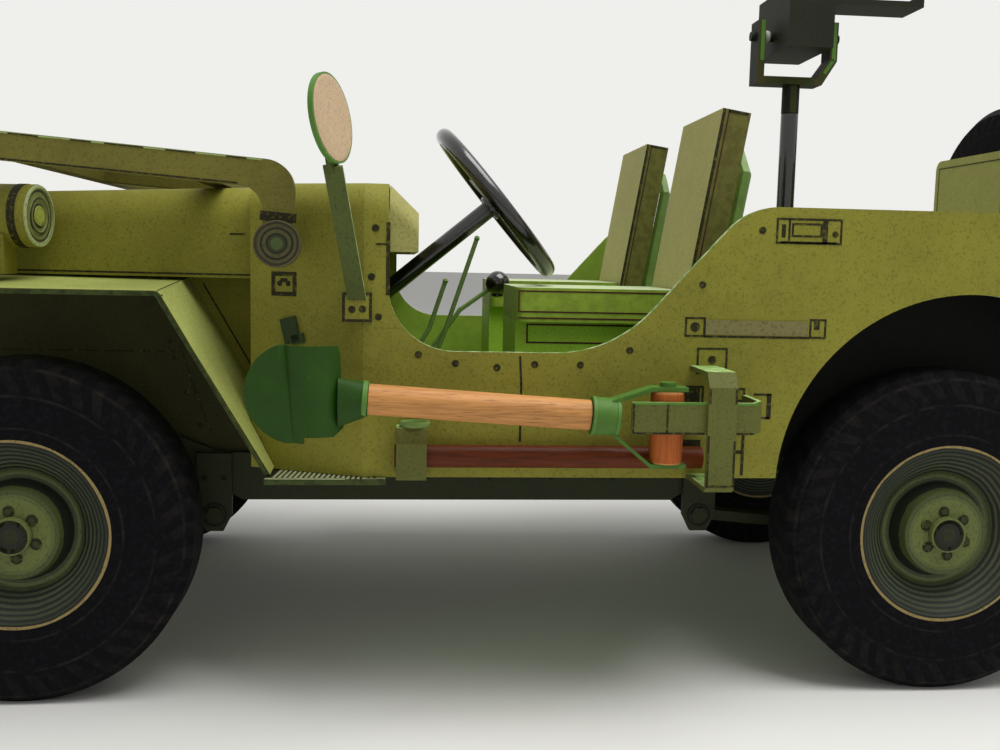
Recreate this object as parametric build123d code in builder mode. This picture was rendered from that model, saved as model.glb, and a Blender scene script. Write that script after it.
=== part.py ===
"""Card scale model of a light army 4x4 car, at the model's own size.

Millimetres. X points forward, Y to the car's left, Z up. While the pieces are drawn, X is zero
half way between the axles, Y on the centre line and Z on the ground. Each piece is written out
moved by ROW_SHIFT, which puts the origin on the ground under the middle of the whole model.
"""
import os
from math import cos, hypot, radians, sin, sqrt, tan

from build123d import *

os.makedirs("parts", exist_ok=True)

# Card and wire stock
CARD = 0.6
THIN_CARD = 0.4
THICK_CARD = 0.8
WIRE_R = 0.25
SEAT_GAP = 0.1
PIN_FIT = 0.05

# Running gear
WHEELBASE = 81.3
TRACK = 49.8
TYRE_R = 14.7
TYRE_W = 6.2
TYRE_SHOULDER = 0.9
RIM_R = 8.1
RIM_LIP = 0.45
DISH_R = 5.0
DISH_DEPTH = 2.2
DOME_R = 3.8
DOME_SLOPE = 0.6
HUB_R = 1.6
STUB_R = 0.9
STUB_L = 5.2
HUB_OUT = 0.3
FRONT_X = WHEELBASE / 2
REAR_X = -WHEELBASE / 2
AXLE_Z = TYRE_R
WHEEL_Y = TRACK / 2
WHEEL_BACK_Y = WHEEL_Y - TYRE_W / 2

# Chassis
RAIL_Y = 17.5
RAIL_W = 1.8
RAIL_BOTTOM = 15.4
RAIL_TOP = 19.9
RAIL_KICK = 3.0
FRONT_OVERHANG = 19.25
REAR_OVERHANG = 23.15
RAIL_FRONT = FRONT_X + FRONT_OVERHANG
RAIL_REAR = REAR_X - REAR_OVERHANG
RAIL_LEVEL_FRONT = 23.3
RAIL_LEVEL_REAR = -17.8
AXLE_R = 1.3
DIFF_R = 3.2
DIFF_W = 4.4
DIFF_Y = -6.0
DRUM_R = 4.2
DRUM_W = 1.0
KNUCKLE_R = 1.5
KNUCKLE_H = 4.6
SHAFT_R = 0.6
SHAFT_DROP = 1.0
SPRING_T = 1.0
SPRING_EYE_Z = 14.1
SPRING_EYE_R = 1.1
FRONT_SPRING_HALF = 14.8
REAR_SPRING_HALF = 20.1
HANGER_W = 3.2
EXHAUST_W = 4.4
EXHAUST_H = 3.6

# Bumpers
BUMPER_HALF = 27.4
BUMPER_Z = 18.2
BUMPER_H = 4.2
BUMPER_D = 2.0
BUMPER_FRONT = RAIL_FRONT + BUMPER_D
BUMPERETTE_Y = 20.0
BUMPERETTE_W = 11.0
BUMPERETTE_H = 3.8
BUMPERETTE_D = 2.2
EYE_PLATE = 1.2
EYE_R = 1.6
EYE_BORE_R = 0.8
EYE_T = 1.2

# Tub
SIDE_Y = 28.9
TUB_TOP = 43.4
TUB_BOTTOM = 20.0
TUB_REAR = -64.5
FLOOR_Z = RAIL_TOP + CARD
TUNNEL_TOP = 23.9
REAR_FLOOR_Z = 25.0
REAR_FLOOR_FRONT = -22.6
DOOR_FRONT = 9.7
DOOR_SILL = 30.7
DOOR_REAR_LOW = -9.3
DOOR_REAR_TOP = -20.8
DOOR_FRONT_R = 5.6
DOOR_REAR_R = 11.0
DOOR_TOP_R = 6.0
PILLAR = 2.0
SIDE_FRONT = DOOR_FRONT + PILLAR
ARCH_X = -41.2
ARCH_Z = 19.2
ARCH_R = 17.1
BOX_WALL_Y = 20.9
BOX_TOP = 37.6
BOX_MARGIN = 0.5

# Cowl and bonnet
COWL_FRONT = 21.5
COWL_FRONT_HALF = 24.6
COWL_TOP = 44.6
COWL_EDGE_R = 2.7
DASH_BOTTOM = 38.9
DASH_DEPTH = 2.5
DASH_SLOPE = 2.3
BONNET_BOTTOM = 36.3
BONNET_REAR_HALF = 21.0
BONNET_FRONT_HALF = 17.0
BONNET_REAR_TOP = 44.5
BONNET_FRONT_TOP = 43.4
BONNET_EDGE_R = 3.0
GRILLE_X = 52.7
GRILLE_BOTTOM = 22.6
SLOT_COUNT = 9
SLOT_PITCH = 2.1
SLOT_W = 1.15
SLOT_BOTTOM = 27.0
SLOT_TOP = 41.0
LAMP_R = 2.9
LAMP_Y = 13.3
LAMP_Z = 36.0
LAMP_DEPTH = 2.6
MARKER_R = 1.05
MARKER_Z = 29.6

# Front fenders and steps
FENDER_Y = 29.4
FENDER_Z = 35.3
BAY_WALL_Y = BONNET_FRONT_HALF - 0.2
FENDER_RISE = 0.9
FENDER_FRONT = GRILLE_X
FENDER_REAR = 28.2
FENDER_FOOT_X = 19.4
FENDER_FOOT_Z = 20.0
STEP_Z = 19.4

# Lamp on the left fender
DRUM_LAMP_X = 39.8
DRUM_LAMP_Y = 22.0
DRUM_LAMP_Z = 41.3
DRUM_LAMP_R = 2.7
DRUM_LAMP_L = 4.6
DRUM_LAMP_TOE = 8.0

# Windscreen, folded forward over the bonnet
PIVOT_X = 18.5
PIVOT_Z = 39.3
PIVOT_R = 1.9
PIVOT_PIN_R = 0.5
SCREEN_TILT = 4.3
SCREEN_OFFSET = 5.74
SCREEN_DEPTH = 1.78
SCREEN_ARM_DROP = 0.45
SCREEN_START = 6.4
SCREEN_REACH = 24.2
SCREEN_RAIL = 2.2
SCREEN_INNER_Y = SIDE_Y + 0.35
SCREEN_OUTER_Y = SCREEN_INNER_Y + 1.0
PANE_T = 0.3

# Mirror
MIRROR_X = 13.9
MIRROR_Y = 34.0
MIRROR_Z = 48.9
MIRROR_R = 3.45
MIRROR_TURN = 21.0
MIRROR_LEAN = 8.4
MIRROR_FOOT_X = 12.2
MIRROR_FOOT_Z = 34.3
MIRROR_FOOT_W = 2.4
MIRROR_ARM_W = 1.5

# Seats
SEAT_INNER_Y = 8.2
SEAT_OUTER_Y = 22.0
CUSHION_FRONT = -1.8
CUSHION_REAR = -17.2
CUSHION_TOP = 36.0
CUSHION_BOTTOM = 32.9
BACK_TOP_X = -20.1
BACK_TOP_Z = 52.5
BACK_LOW_X = -17.34
BACK_LOW_Z = 35.6
BACK_T = 2.6
SEAT_TUBE_R = 0.65
SEAT_TUBE_INSET = 2.0
SEAT_TUBE_RISE = 12.8
SEAT_TUBE_CUT = 2.0
SEAT_BOX_INSET = 1.6
BENCH_HALF = 15.5
BENCH_FRONT = -47.0
BENCH_BACK_X = -59.8
BENCH_TOP = 34.2
BENCH_BACK_TOP = 52.2
BENCH_T = 2.6

# Controls
WHEEL_C_X = -0.45
WHEEL_C_Z = 43.9
STEER_Y = 13.0
STEER_ANGLE = 39.5
STEER_TOE = 4.0
STEER_R = 8.1
STEER_TUBE_R = 0.8
STEER_HUB_R = 1.3
COLUMN_R = 0.85
LEVER_FOOT_Z = TUNNEL_TOP + 0.2

# Spare wheel and can on the back panel
SPARE_Y = -12.0
SPARE_Z = 44.0
SPARE_GAP = 0.6
CAN_Y = 15.0
CAN_W = 13.6
CAN_H = 17.6
CAN_D = 5.8
CAN_Z = 24.2

# Pedestal
POST_X = -34.3
POST_R = 0.95
POST_TOP = 58.3
YOKE_Z = POST_TOP + SEAT_GAP
YOKE_FRONT = POST_X + 4.4
YOKE_REAR = POST_X - 4.6
YOKE_H = 6.8
YOKE_TOP = YOKE_Z + YOKE_H
YOKE_W = 2.6
YOKE_PIN_R = 0.5
CRADLE_PIN_Z = YOKE_TOP - 1.6
CRADLE_W = 5.0
CRADLE_L = 10.0
CRADLE_DROP = 1.9
CRADLE_BOTTOM = CRADLE_PIN_Z - CRADLE_DROP
CRADLE_TOP = CRADLE_PIN_Z + 4.6
CRADLE_WELL = 1.5
TRAY_Z = YOKE_TOP + 1.7
TRAY_LIP = 1.2
TRAY_REAR = POST_X - 13.6
TRAY_W = 5.0

# Tools on the left side
SHOVEL_FRONT = 11.2
SHOVEL_Z = 27.1
SHOVEL_R = 1.25
SHOVEL_L = 18.1
SHOVEL_DROP = 0.063
SHOVEL_LEAN = 0.17
SOCKET_L = 2.3
BLADE_REAR = 13.0
BLADE_FOLD = 16.5
BLADE_RIDGE = 16.8
BLADE_TIP = 20.9
BLADE_TIP_Z = 27.6
BLADE_LOW = 23.6
BLADE_HIGH = 31.35
RIDGE_OUT = 1.0
DRUM_OUT = 1.5
DRUM_LEAN = 0.05
BLADE_BACK = 0.8
FERRULE_L = 2.3
FERRULE_R = 1.55
GRIP_X = -13.3
GRIP_R = 1.35
GRIP_LOW = 22.1
GRIP_HIGH = 28.0
ARM_T = 0.35
ARM_W = 1.7
STRAP_BACK = 0.2
TOOL_SEAT = SIDE_Y + STRAP_BACK + SEAT_GAP
AXE_FRONT = 9.0
AXE_L = 26.0
AXE_Z = 22.05
AXE_R = 0.95

# The whole model's reach: the mirror on the left, a pivot on the right, the spare's hub behind
mirror_normal = Vector(
    -cos(radians(MIRROR_TURN)), sin(radians(MIRROR_TURN)), cos(radians(MIRROR_TURN)) * tan(radians(MIRROR_LEAN))
).normalized()
MIRROR_REACH = MIRROR_Y + MIRROR_R * sqrt(1 - mirror_normal.Y ** 2)
RIGHT_REACH = SCREEN_OUTER_Y + SEAT_GAP + CARD
REAR_REACH = TUB_REAR - SPARE_GAP - TYRE_W - HUB_OUT
ROW_SHIFT = (-(BUMPER_FRONT + REAR_REACH) / 2, -(MIRROR_REACH - RIGHT_REACH) / 2, 0)


def side_plane(y):
    """The XZ plane at this y; an extrusion from it goes towards the right of the car."""
    return Plane.XZ.offset(-y)


def save(builder, name):
    """Writes one piece, moved into the row's frame."""
    piece = builder.part.moved(Location(ROW_SHIFT))
    piece.label = name
    export_step(piece, f"parts/{name}.step")


# Wheels: a tyre and a stepped disc on each of four stubs
def tyre(builder_plane):
    """A tyre's half section with bevelled shoulders, revolved about the plane's X axis."""
    face = TYRE_W / 2
    with BuildPart() as made:
        with BuildSketch(builder_plane):
            Polygon(
                (-face, RIM_R), (-face, TYRE_R - TYRE_SHOULDER), (-face + TYRE_SHOULDER, TYRE_R),
                (face - TYRE_SHOULDER, TYRE_R), (face, TYRE_R - TYRE_SHOULDER), (face, RIM_R), align=None,
            )
        revolve(axis=Axis(builder_plane.origin, builder_plane.x_dir))
    return made


def disc(builder_plane, bore_r):
    """A stack of card discs: a rim lip, a dish, a raised centre and the hub over the stub's bore."""
    face = TYRE_W / 2
    dish = face - DISH_DEPTH
    dome = face - 0.3
    with BuildPart() as made:
        with BuildSketch(builder_plane):
            Polygon(
                (-face, RIM_R), (face, RIM_R), (face, RIM_R - RIM_LIP), (dish, DISH_R),
                (dish, DOME_R + DOME_SLOPE), (dome, DOME_R), (dome, HUB_R), (face + HUB_OUT, HUB_R),
                (face + HUB_OUT, 0), (face - 0.7, 0), (face - 0.7, bore_r), (-face, bore_r), align=None,
            )
        revolve(axis=Axis(builder_plane.origin, builder_plane.x_dir))
    return made


WHEELS = [
    # name, x, side
    ("front_left", FRONT_X, 1),
    ("front_right", FRONT_X, -1),
    ("rear_left", REAR_X, 1),
    ("rear_right", REAR_X, -1),
]
for wheel, x, side in WHEELS:
    hub_plane = Plane(origin=(x, side * WHEEL_Y, AXLE_Z), x_dir=(0, side, 0), z_dir=(side, 0, 0))
    save(tyre(hub_plane), f"tyre_{wheel}")
    save(disc(hub_plane, STUB_R + PIN_FIT), f"wheel_disc_{wheel}")

spare_plane = Plane(
    origin=(TUB_REAR - SPARE_GAP - TYRE_W / 2, SPARE_Y, SPARE_Z), x_dir=(-1, 0, 0), z_dir=(0, 1, 0)
)
save(tyre(spare_plane), "spare_tyre")
save(disc(spare_plane, STUB_R), "spare_disc")

with BuildPart() as spare_carrier:
    with BuildSketch(Plane.YZ.offset(TUB_REAR)):
        with Locations((SPARE_Y, SPARE_Z - 4.5)):
            RectangleRounded(5.0, 7.4, 0.8)
    extrude(amount=-0.5)
    with BuildSketch(Plane.YZ.offset(TUB_REAR)):
        with Locations((SPARE_Y, SPARE_Z)):
            Circle(HUB_R + 0.6)
    extrude(amount=-SPARE_GAP)
    with BuildSketch(Plane.YZ.offset(TUB_REAR - SPARE_GAP)):
        with Locations((SPARE_Y, SPARE_Z)):
            Circle(STUB_R - PIN_FIT)
    extrude(amount=-STUB_L)
save(spare_carrier, "spare_carrier")


# Axles: tube, differential, drums and, in front, upright knuckles
def axle(x, knuckles):
    with BuildPart() as made:
        with BuildSketch(side_plane(WHEEL_BACK_Y - 1.0)):
            with Locations((x, AXLE_Z)):
                Circle(AXLE_R)
        extrude(amount=2 * (WHEEL_BACK_Y - 1.0))
        with BuildSketch(Plane(origin=(x, DIFF_Y, AXLE_Z), x_dir=(0, 1, 0), z_dir=(1, 0, 0))):
            Polygon(
                (-DIFF_W / 2, 0), (-DIFF_W / 2, DIFF_R / 2), (-DIFF_W / 4, DIFF_R), (DIFF_W / 4, DIFF_R),
                (DIFF_W / 2, DIFF_R / 2), (DIFF_W / 2, 0), align=None,
            )
        revolve(axis=Axis((x, DIFF_Y, AXLE_Z), (0, 1, 0)))
        for side in (1, -1):
            with BuildSketch(side_plane(side * (WHEEL_BACK_Y - 0.2))):
                with Locations((x, AXLE_Z)):
                    Circle(DRUM_R)
            extrude(amount=side * DRUM_W)
            with BuildSketch(side_plane(side * (WHEEL_BACK_Y - 0.3))):
                with Locations((x, AXLE_Z)):
                    Circle(STUB_R)
            extrude(amount=-side * STUB_L)
            if knuckles:
                with BuildSketch(Plane.XY.offset(AXLE_Z - KNUCKLE_H / 2)):
                    with Locations((x, side * (WHEEL_BACK_Y - 2.6))):
                        Circle(KNUCKLE_R)
                extrude(amount=KNUCKLE_H)
    return made


save(axle(FRONT_X, True), "front_axle")
save(axle(REAR_X, False), "rear_axle")

# Frame rails, level under the doors and raised over both axles
with BuildPart() as chassis_frame:
    with BuildSketch(side_plane(RAIL_Y)):
        Polygon(
            (RAIL_REAR, RAIL_BOTTOM + RAIL_KICK), (RAIL_LEVEL_REAR - 5, RAIL_BOTTOM + RAIL_KICK),
            (RAIL_LEVEL_REAR, RAIL_BOTTOM), (RAIL_LEVEL_FRONT, RAIL_BOTTOM),
            (RAIL_LEVEL_FRONT + 5, RAIL_BOTTOM + RAIL_KICK), (RAIL_FRONT, RAIL_BOTTOM + RAIL_KICK),
            (RAIL_FRONT, RAIL_TOP + RAIL_KICK - 1), (RAIL_LEVEL_FRONT + 7, RAIL_TOP + RAIL_KICK - 1),
            (RAIL_LEVEL_FRONT + 2, RAIL_TOP), (RAIL_LEVEL_REAR - 6, RAIL_TOP),
            (RAIL_LEVEL_REAR - 9, RAIL_TOP + RAIL_KICK - 1), (RAIL_REAR, RAIL_TOP + RAIL_KICK - 1),
            align=None,
        )
    extrude(amount=RAIL_W)
    mirror(about=Plane.XZ)
    CROSSMEMBERS = [
        # x, low z, high z
        (RAIL_FRONT - 5.9, RAIL_TOP - 0.7, RAIL_TOP + 1.5),
        (RAIL_LEVEL_FRONT - 5.3, RAIL_BOTTOM + RAIL_W, RAIL_TOP - 0.5),
        (RAIL_LEVEL_REAR + 5.8, RAIL_BOTTOM + RAIL_W, RAIL_TOP - 0.5),
        (RAIL_REAR + 11.8, RAIL_TOP - 0.7, RAIL_TOP + 1.5),
        (RAIL_REAR + RAIL_W / 2, RAIL_TOP - 0.7, RAIL_TOP + 1.5),
    ]
    for x, low, high in CROSSMEMBERS:
        with Locations((x, 0, (low + high) / 2)):
            Box(RAIL_W, 2 * (RAIL_Y - RAIL_W / 2), high - low)
save(chassis_frame, "chassis_frame")

# Gearbox with the transfer case at its right, and a shaft from it to each differential
GEARBOXES = [
    # x, y, z, length, width, height
    (4.0, 0.0, 17.0, 17.0, 9.0, 4.8),
    (7.5, DIFF_Y, 16.6, 10.0, 5.0, 4.4),
]
SHAFT_ENDS = [
    # from x, to x
    (12.0, FRONT_X - DIFF_R - SEAT_GAP),
    (3.0, REAR_X + DIFF_R + SEAT_GAP),
]
with BuildPart() as gearbox_and_shafts:
    for x, y, z, length, width, height in GEARBOXES:
        with Locations((x, y, z)):
            Box(length, width, height)
    chamfer(gearbox_and_shafts.edges().filter_by(Axis.Z), 0.8)
    for x0, x1 in SHAFT_ENDS:
        run = Vector(x1 - x0, 0, -SHAFT_DROP)
        with BuildSketch(Plane(origin=(x0, DIFF_Y, AXLE_Z + SHAFT_DROP), z_dir=run)):
            Circle(SHAFT_R)
        extrude(amount=run.length)
save(gearbox_and_shafts, "gearbox_and_shafts")


# Leaf springs under the axles, with a round eye at each end
SPRINGS = [
    # x of the axle, half length
    (FRONT_X, FRONT_SPRING_HALF),
    (REAR_X, REAR_SPRING_HALF),
]
with BuildPart() as leaf_springs:
    for x, half in SPRINGS:
        with BuildSketch(side_plane(RAIL_Y)):
            with BuildLine():
                ThreePointArc(
                    (x - half, SPRING_EYE_Z - SPRING_T / 2), (x, AXLE_Z - AXLE_R - SPRING_T),
                    (x + half, SPRING_EYE_Z - SPRING_T / 2),
                )
                Line((x + half, SPRING_EYE_Z - SPRING_T / 2), (x + half, SPRING_EYE_Z + SPRING_T / 2))
                ThreePointArc(
                    (x + half, SPRING_EYE_Z + SPRING_T / 2), (x, AXLE_Z - AXLE_R),
                    (x - half, SPRING_EYE_Z + SPRING_T / 2),
                )
                Line((x - half, SPRING_EYE_Z + SPRING_T / 2), (x - half, SPRING_EYE_Z - SPRING_T / 2))
            make_face()
            with Locations((x - half, SPRING_EYE_Z), (x + half, SPRING_EYE_Z)):
                RegularPolygon(SPRING_EYE_R, 8)
        extrude(amount=RAIL_W)
    mirror(about=Plane.XZ)
save(leaf_springs, "leaf_springs")

# Hangers: a plate outside each rail that reaches down over the spring eye
HANGERS = [
    # x of the eye
    FRONT_X - FRONT_SPRING_HALF,
    FRONT_X + FRONT_SPRING_HALF,
    REAR_X + REAR_SPRING_HALF,
    REAR_X - REAR_SPRING_HALF,
]
with BuildPart() as spring_hangers:
    for x in HANGERS:
        with BuildSketch(side_plane(RAIL_Y + CARD)):
            Polygon(
                (x - HANGER_W / 2, SPRING_EYE_Z), (x - HANGER_W / 2, RAIL_TOP), (x + HANGER_W / 2, RAIL_TOP),
                (x + HANGER_W / 2, SPRING_EYE_Z), (x + HANGER_W / 4, SPRING_EYE_Z - HANGER_W / 2),
                (x - HANGER_W / 4, SPRING_EYE_Z - HANGER_W / 2), align=None,
            )
        extrude(amount=CARD)
        with BuildSketch(side_plane(RAIL_Y + CARD + 0.3)):
            with Locations((x, SPRING_EYE_Z)):
                RegularPolygon(0.8, 6)
        extrude(amount=0.3)
    mirror(about=Plane.XZ)
save(spring_hangers, "spring_hangers")

with BuildPart() as exhaust:
    with Locations((-3.0, -RAIL_Y + RAIL_W + SEAT_GAP + EXHAUST_W / 2, RAIL_TOP - 0.7 - EXHAUST_H / 2)):
        Box(15.0, EXHAUST_W, EXHAUST_H)
    chamfer(exhaust.edges().filter_by(Axis.X), EXHAUST_H * 0.3)
save(exhaust, "exhaust_box")

# Front bumper: a channel open to the back, on the rail ends
with BuildPart() as front_bumper:
    with BuildSketch(Plane.XY.offset(BUMPER_Z)):
        with Locations((RAIL_FRONT + BUMPER_D / 2, 0)):
            Rectangle(BUMPER_D, 2 * BUMPER_HALF)
    extrude(amount=BUMPER_H)
    chamfer(front_bumper.edges().filter_by(Axis.X), 0.4)
    for side in (1, -1):
        with BuildSketch(Plane.YZ.offset(RAIL_FRONT)):
            with Locations((side * (BUMPER_HALF + RAIL_Y) / 2, BUMPER_Z + BUMPER_H / 2)):
                Rectangle(BUMPER_HALF - RAIL_Y - 1.0, BUMPER_H - 1.2)
        extrude(amount=BUMPER_D - CARD, mode=Mode.SUBTRACT)
save(front_bumper, "front_bumper")

# Rear bumperettes and, between them, a plate with an upright towing eye
with BuildPart() as rear_bumperettes:
    for side in (1, -1):
        with BuildSketch(Plane.YZ.offset(RAIL_REAR)):
            with Locations((side * BUMPERETTE_Y, TUB_BOTTOM - 2.0)):
                Rectangle(BUMPERETTE_W, BUMPERETTE_H)
        extrude(amount=-BUMPERETTE_D)
save(rear_bumperettes, "rear_bumperettes")

with BuildPart() as towing_eye:
    with BuildSketch(Plane.YZ.offset(RAIL_REAR)):
        with Locations((0, TUB_BOTTOM - 1.8)):
            Rectangle(6.0, 3.4)
    extrude(amount=-EYE_PLATE)
    with BuildSketch(Plane.XY.offset(TUB_BOTTOM - 1.8 - EYE_T / 2)):
        with Locations((RAIL_REAR - EYE_PLATE - EYE_R, 0)):
            Circle(EYE_R + 0.2)
    extrude(amount=EYE_T)
    with BuildSketch(Plane.XY.offset(TUB_BOTTOM - 1.8 - EYE_T / 2)):
        with Locations((RAIL_REAR - EYE_PLATE - EYE_R, 0)):
            Circle(EYE_BORE_R)
    extrude(amount=EYE_T, mode=Mode.SUBTRACT)
save(towing_eye, "towing_eye")

# Tub floor: front pan with a tunnel, a riser and the raised rear pan
with BuildPart() as tub_floor:
    with BuildSketch(side_plane(SIDE_Y - CARD)):
        Polygon(
            (COWL_FRONT - CARD, RAIL_TOP), (REAR_FLOOR_FRONT - CARD, RAIL_TOP),
            (REAR_FLOOR_FRONT - CARD, FLOOR_Z), (COWL_FRONT - CARD, FLOOR_Z),
            align=None,
        )
    extrude(amount=2 * (SIDE_Y - CARD))
    with BuildSketch(Plane.XY.offset(RAIL_TOP)):
        with Locations(((SIDE_FRONT + COWL_FRONT) / 2 + 2, SIDE_Y), ((SIDE_FRONT + COWL_FRONT) / 2 + 2, -SIDE_Y)):
            Rectangle(COWL_FRONT - SIDE_FRONT + 4, 2 * (SIDE_Y - COWL_FRONT_HALF + CARD))
    extrude(amount=CARD, mode=Mode.SUBTRACT)
    with BuildSketch(side_plane(BOX_WALL_Y)):
        Polygon(
            (REAR_FLOOR_FRONT - CARD, FLOOR_Z - CARD), (REAR_FLOOR_FRONT, FLOOR_Z - CARD),
            (REAR_FLOOR_FRONT, REAR_FLOOR_Z), (TUB_REAR + CARD, REAR_FLOOR_Z),
            (TUB_REAR + CARD, REAR_FLOOR_Z - CARD), (REAR_FLOOR_FRONT - CARD, REAR_FLOOR_Z - CARD),
            align=None,
        )
    extrude(amount=2 * BOX_WALL_Y)
    with Locations((11.0, 0, (FLOOR_Z + TUNNEL_TOP) / 2)):
        Box(19.6, 6.4, TUNNEL_TOP - FLOOR_Z)
save(tub_floor, "tub_floor")


# Side panels with the door opening and the rear wheel arch
def side_panel(side):
    with BuildPart() as made:
        with BuildSketch(side_plane(side * SIDE_Y)) as outline:
            with BuildLine():
                Polyline(
                    (SIDE_FRONT, TUB_BOTTOM), (SIDE_FRONT, DOOR_SILL + DOOR_FRONT_R + 0.4),
                    (DOOR_FRONT, DOOR_SILL + DOOR_FRONT_R + 0.4), (DOOR_FRONT, DOOR_SILL),
                    (DOOR_REAR_LOW, DOOR_SILL), (DOOR_REAR_TOP, TUB_TOP),
                    (TUB_REAR + CARD, TUB_TOP), (TUB_REAR + CARD, TUB_BOTTOM),
                    close=True,
                )
            make_face()
            CORNERS = [
                # x, z, radius
                (DOOR_FRONT, DOOR_SILL, DOOR_FRONT_R),
                (DOOR_REAR_LOW, DOOR_SILL, DOOR_REAR_R),
                (DOOR_REAR_TOP, TUB_TOP, DOOR_TOP_R),
            ]
            for x, z, r in CORNERS:
                fillet(outline.vertices().sort_by_distance((x, z, 0))[0], r)
            with Locations((ARCH_X, ARCH_Z)):
                Circle(ARCH_R, mode=Mode.SUBTRACT)
        extrude(amount=side * CARD)
    return made


save(side_panel(1), "left_side_panel")
save(side_panel(-1), "right_side_panel")

with BuildPart() as rear_panel:
    with BuildSketch(Plane.YZ.offset(TUB_REAR)):
        with Locations((0, (TUB_TOP + TUB_BOTTOM) / 2)):
            Rectangle(2 * SIDE_Y, TUB_TOP - TUB_BOTTOM)
    extrude(amount=CARD)
save(rear_panel, "rear_panel")

# Wheel boxes inside the tub, open to the wheel
with BuildPart() as wheel_boxes:
    box_front = ARCH_X + ARCH_R + BOX_MARGIN + CARD
    box_rear = ARCH_X - ARCH_R - BOX_MARGIN - CARD
    with BuildSketch(side_plane(SIDE_Y - CARD)):
        with Locations(((box_front + box_rear) / 2, (BOX_TOP + FLOOR_Z) / 2)):
            Rectangle(box_front - box_rear, BOX_TOP - FLOOR_Z)
    extrude(amount=SIDE_Y - CARD - BOX_WALL_Y)
    with BuildSketch(side_plane(SIDE_Y - CARD)):
        with Locations(((box_front + box_rear) / 2, (BOX_TOP + FLOOR_Z) / 2 - CARD)):
            Rectangle(box_front - box_rear - 2 * CARD, BOX_TOP - FLOOR_Z)
    extrude(amount=SIDE_Y - CARD - BOX_WALL_Y - CARD, mode=Mode.SUBTRACT)
    mirror(about=Plane.XZ)
save(wheel_boxes, "wheel_boxes")


# Cowl: the bent sheet ahead of the doors, with the wall behind the engine bay
def arch_section(x, half, bottom, top, r, rounded=True):
    """An inverted U section with rounded or cut upper corners, on the plane at this x."""
    turn = r * cos(radians(45)) if rounded else r / 2
    with BuildSketch(Plane.YZ.offset(x)) as made:
        with BuildLine():
            Polyline((-half, top - r), (-half, bottom), (half, bottom), (half, top - r))
            if rounded:
                ThreePointArc((half, top - r), (half - r + turn, top - r + turn), (half - r, top))
                ThreePointArc((-half + r, top), (-half + r - turn, top - r + turn), (-half, top - r))
            else:
                Line((half, top - r), (half - r, top))
                Line((-half + r, top), (-half, top - r))
            Line((half - r, top), (-half + r, top))
        make_face()
    return made.sketch.face()


COWL_SLOPE = (SIDE_Y - COWL_FRONT_HALF) / (COWL_FRONT - SIDE_FRONT)
with BuildPart() as cowl:
    loft([
        arch_section(SIDE_FRONT, SIDE_Y, TUB_BOTTOM, COWL_TOP, COWL_EDGE_R),
        arch_section(COWL_FRONT, COWL_FRONT_HALF, TUB_BOTTOM, COWL_TOP, COWL_EDGE_R),
    ], ruled=True)
    inner_half = COWL_FRONT_HALF + COWL_SLOPE * CARD - CARD
    inner_r = COWL_EDGE_R - CARD
    loft([
        arch_section(SIDE_FRONT, SIDE_Y - CARD, TUB_BOTTOM, COWL_TOP - CARD, inner_r),
        arch_section(COWL_FRONT - CARD, inner_half, TUB_BOTTOM, COWL_TOP - CARD, inner_r),
    ], ruled=True, mode=Mode.SUBTRACT)
    pillar_foot = DOOR_SILL + DOOR_FRONT_R + 0.4
    extrude(arch_section(DOOR_FRONT, SIDE_Y, pillar_foot, COWL_TOP, COWL_EDGE_R), amount=PILLAR)
    extrude(
        arch_section(DOOR_FRONT, SIDE_Y - CARD, pillar_foot, COWL_TOP - CARD, inner_r),
        amount=PILLAR, mode=Mode.SUBTRACT,
    )
save(cowl, "cowl")

# Dashboard: a hollow panel as wide as the cowl, its top slanted down to the back
dash_half = SIDE_Y - CARD
dash_top = COWL_TOP - CARD - SEAT_GAP
dash_high = COWL_TOP - SEAT_GAP
dash_r = COWL_EDGE_R - CARD
dash_rear = DOOR_FRONT - DASH_DEPTH
with BuildPart() as dashboard:
    extrude(
        arch_section(DOOR_FRONT - SEAT_GAP, dash_half, DASH_BOTTOM, dash_top, dash_r), amount=PILLAR + SEAT_GAP
    )
    loft([
        arch_section(dash_rear, dash_half, DASH_BOTTOM, dash_high - DASH_SLOPE, dash_r),
        arch_section(DOOR_FRONT - SEAT_GAP, dash_half, DASH_BOTTOM, dash_high, dash_r),
    ], ruled=True)
    with BuildSketch(side_plane(dash_half - CARD)):
        Polygon(
            (dash_rear + CARD, DASH_BOTTOM - 1), (DOOR_FRONT + PILLAR + 1, DASH_BOTTOM - 1),
            (DOOR_FRONT + PILLAR + 1, dash_top - CARD), (DOOR_FRONT, dash_top - CARD),
            (dash_rear + CARD, dash_high - DASH_SLOPE - CARD / 2), align=None,
        )
    extrude(amount=2 * (dash_half - CARD), mode=Mode.SUBTRACT)
save(dashboard, "dashboard")

# Bonnet: a tapered hollow arch between the grille and the cowl
with BuildPart() as bonnet:
    rear_x = COWL_FRONT + SEAT_GAP
    front_x = GRILLE_X - SEAT_GAP
    loft([
        arch_section(rear_x, BONNET_REAR_HALF, BONNET_BOTTOM, BONNET_REAR_TOP, BONNET_EDGE_R),
        arch_section(front_x, BONNET_FRONT_HALF, BONNET_BOTTOM, BONNET_FRONT_TOP, BONNET_EDGE_R),
    ], ruled=True)
    inner_r = BONNET_EDGE_R - CARD
    loft([
        arch_section(rear_x, BONNET_REAR_HALF - CARD, BONNET_BOTTOM, BONNET_REAR_TOP - CARD, inner_r, False),
        arch_section(front_x, BONNET_FRONT_HALF - CARD, BONNET_BOTTOM, BONNET_FRONT_TOP - CARD, inner_r, False),
    ], ruled=True, mode=Mode.SUBTRACT)
save(bonnet, "bonnet")

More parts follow.
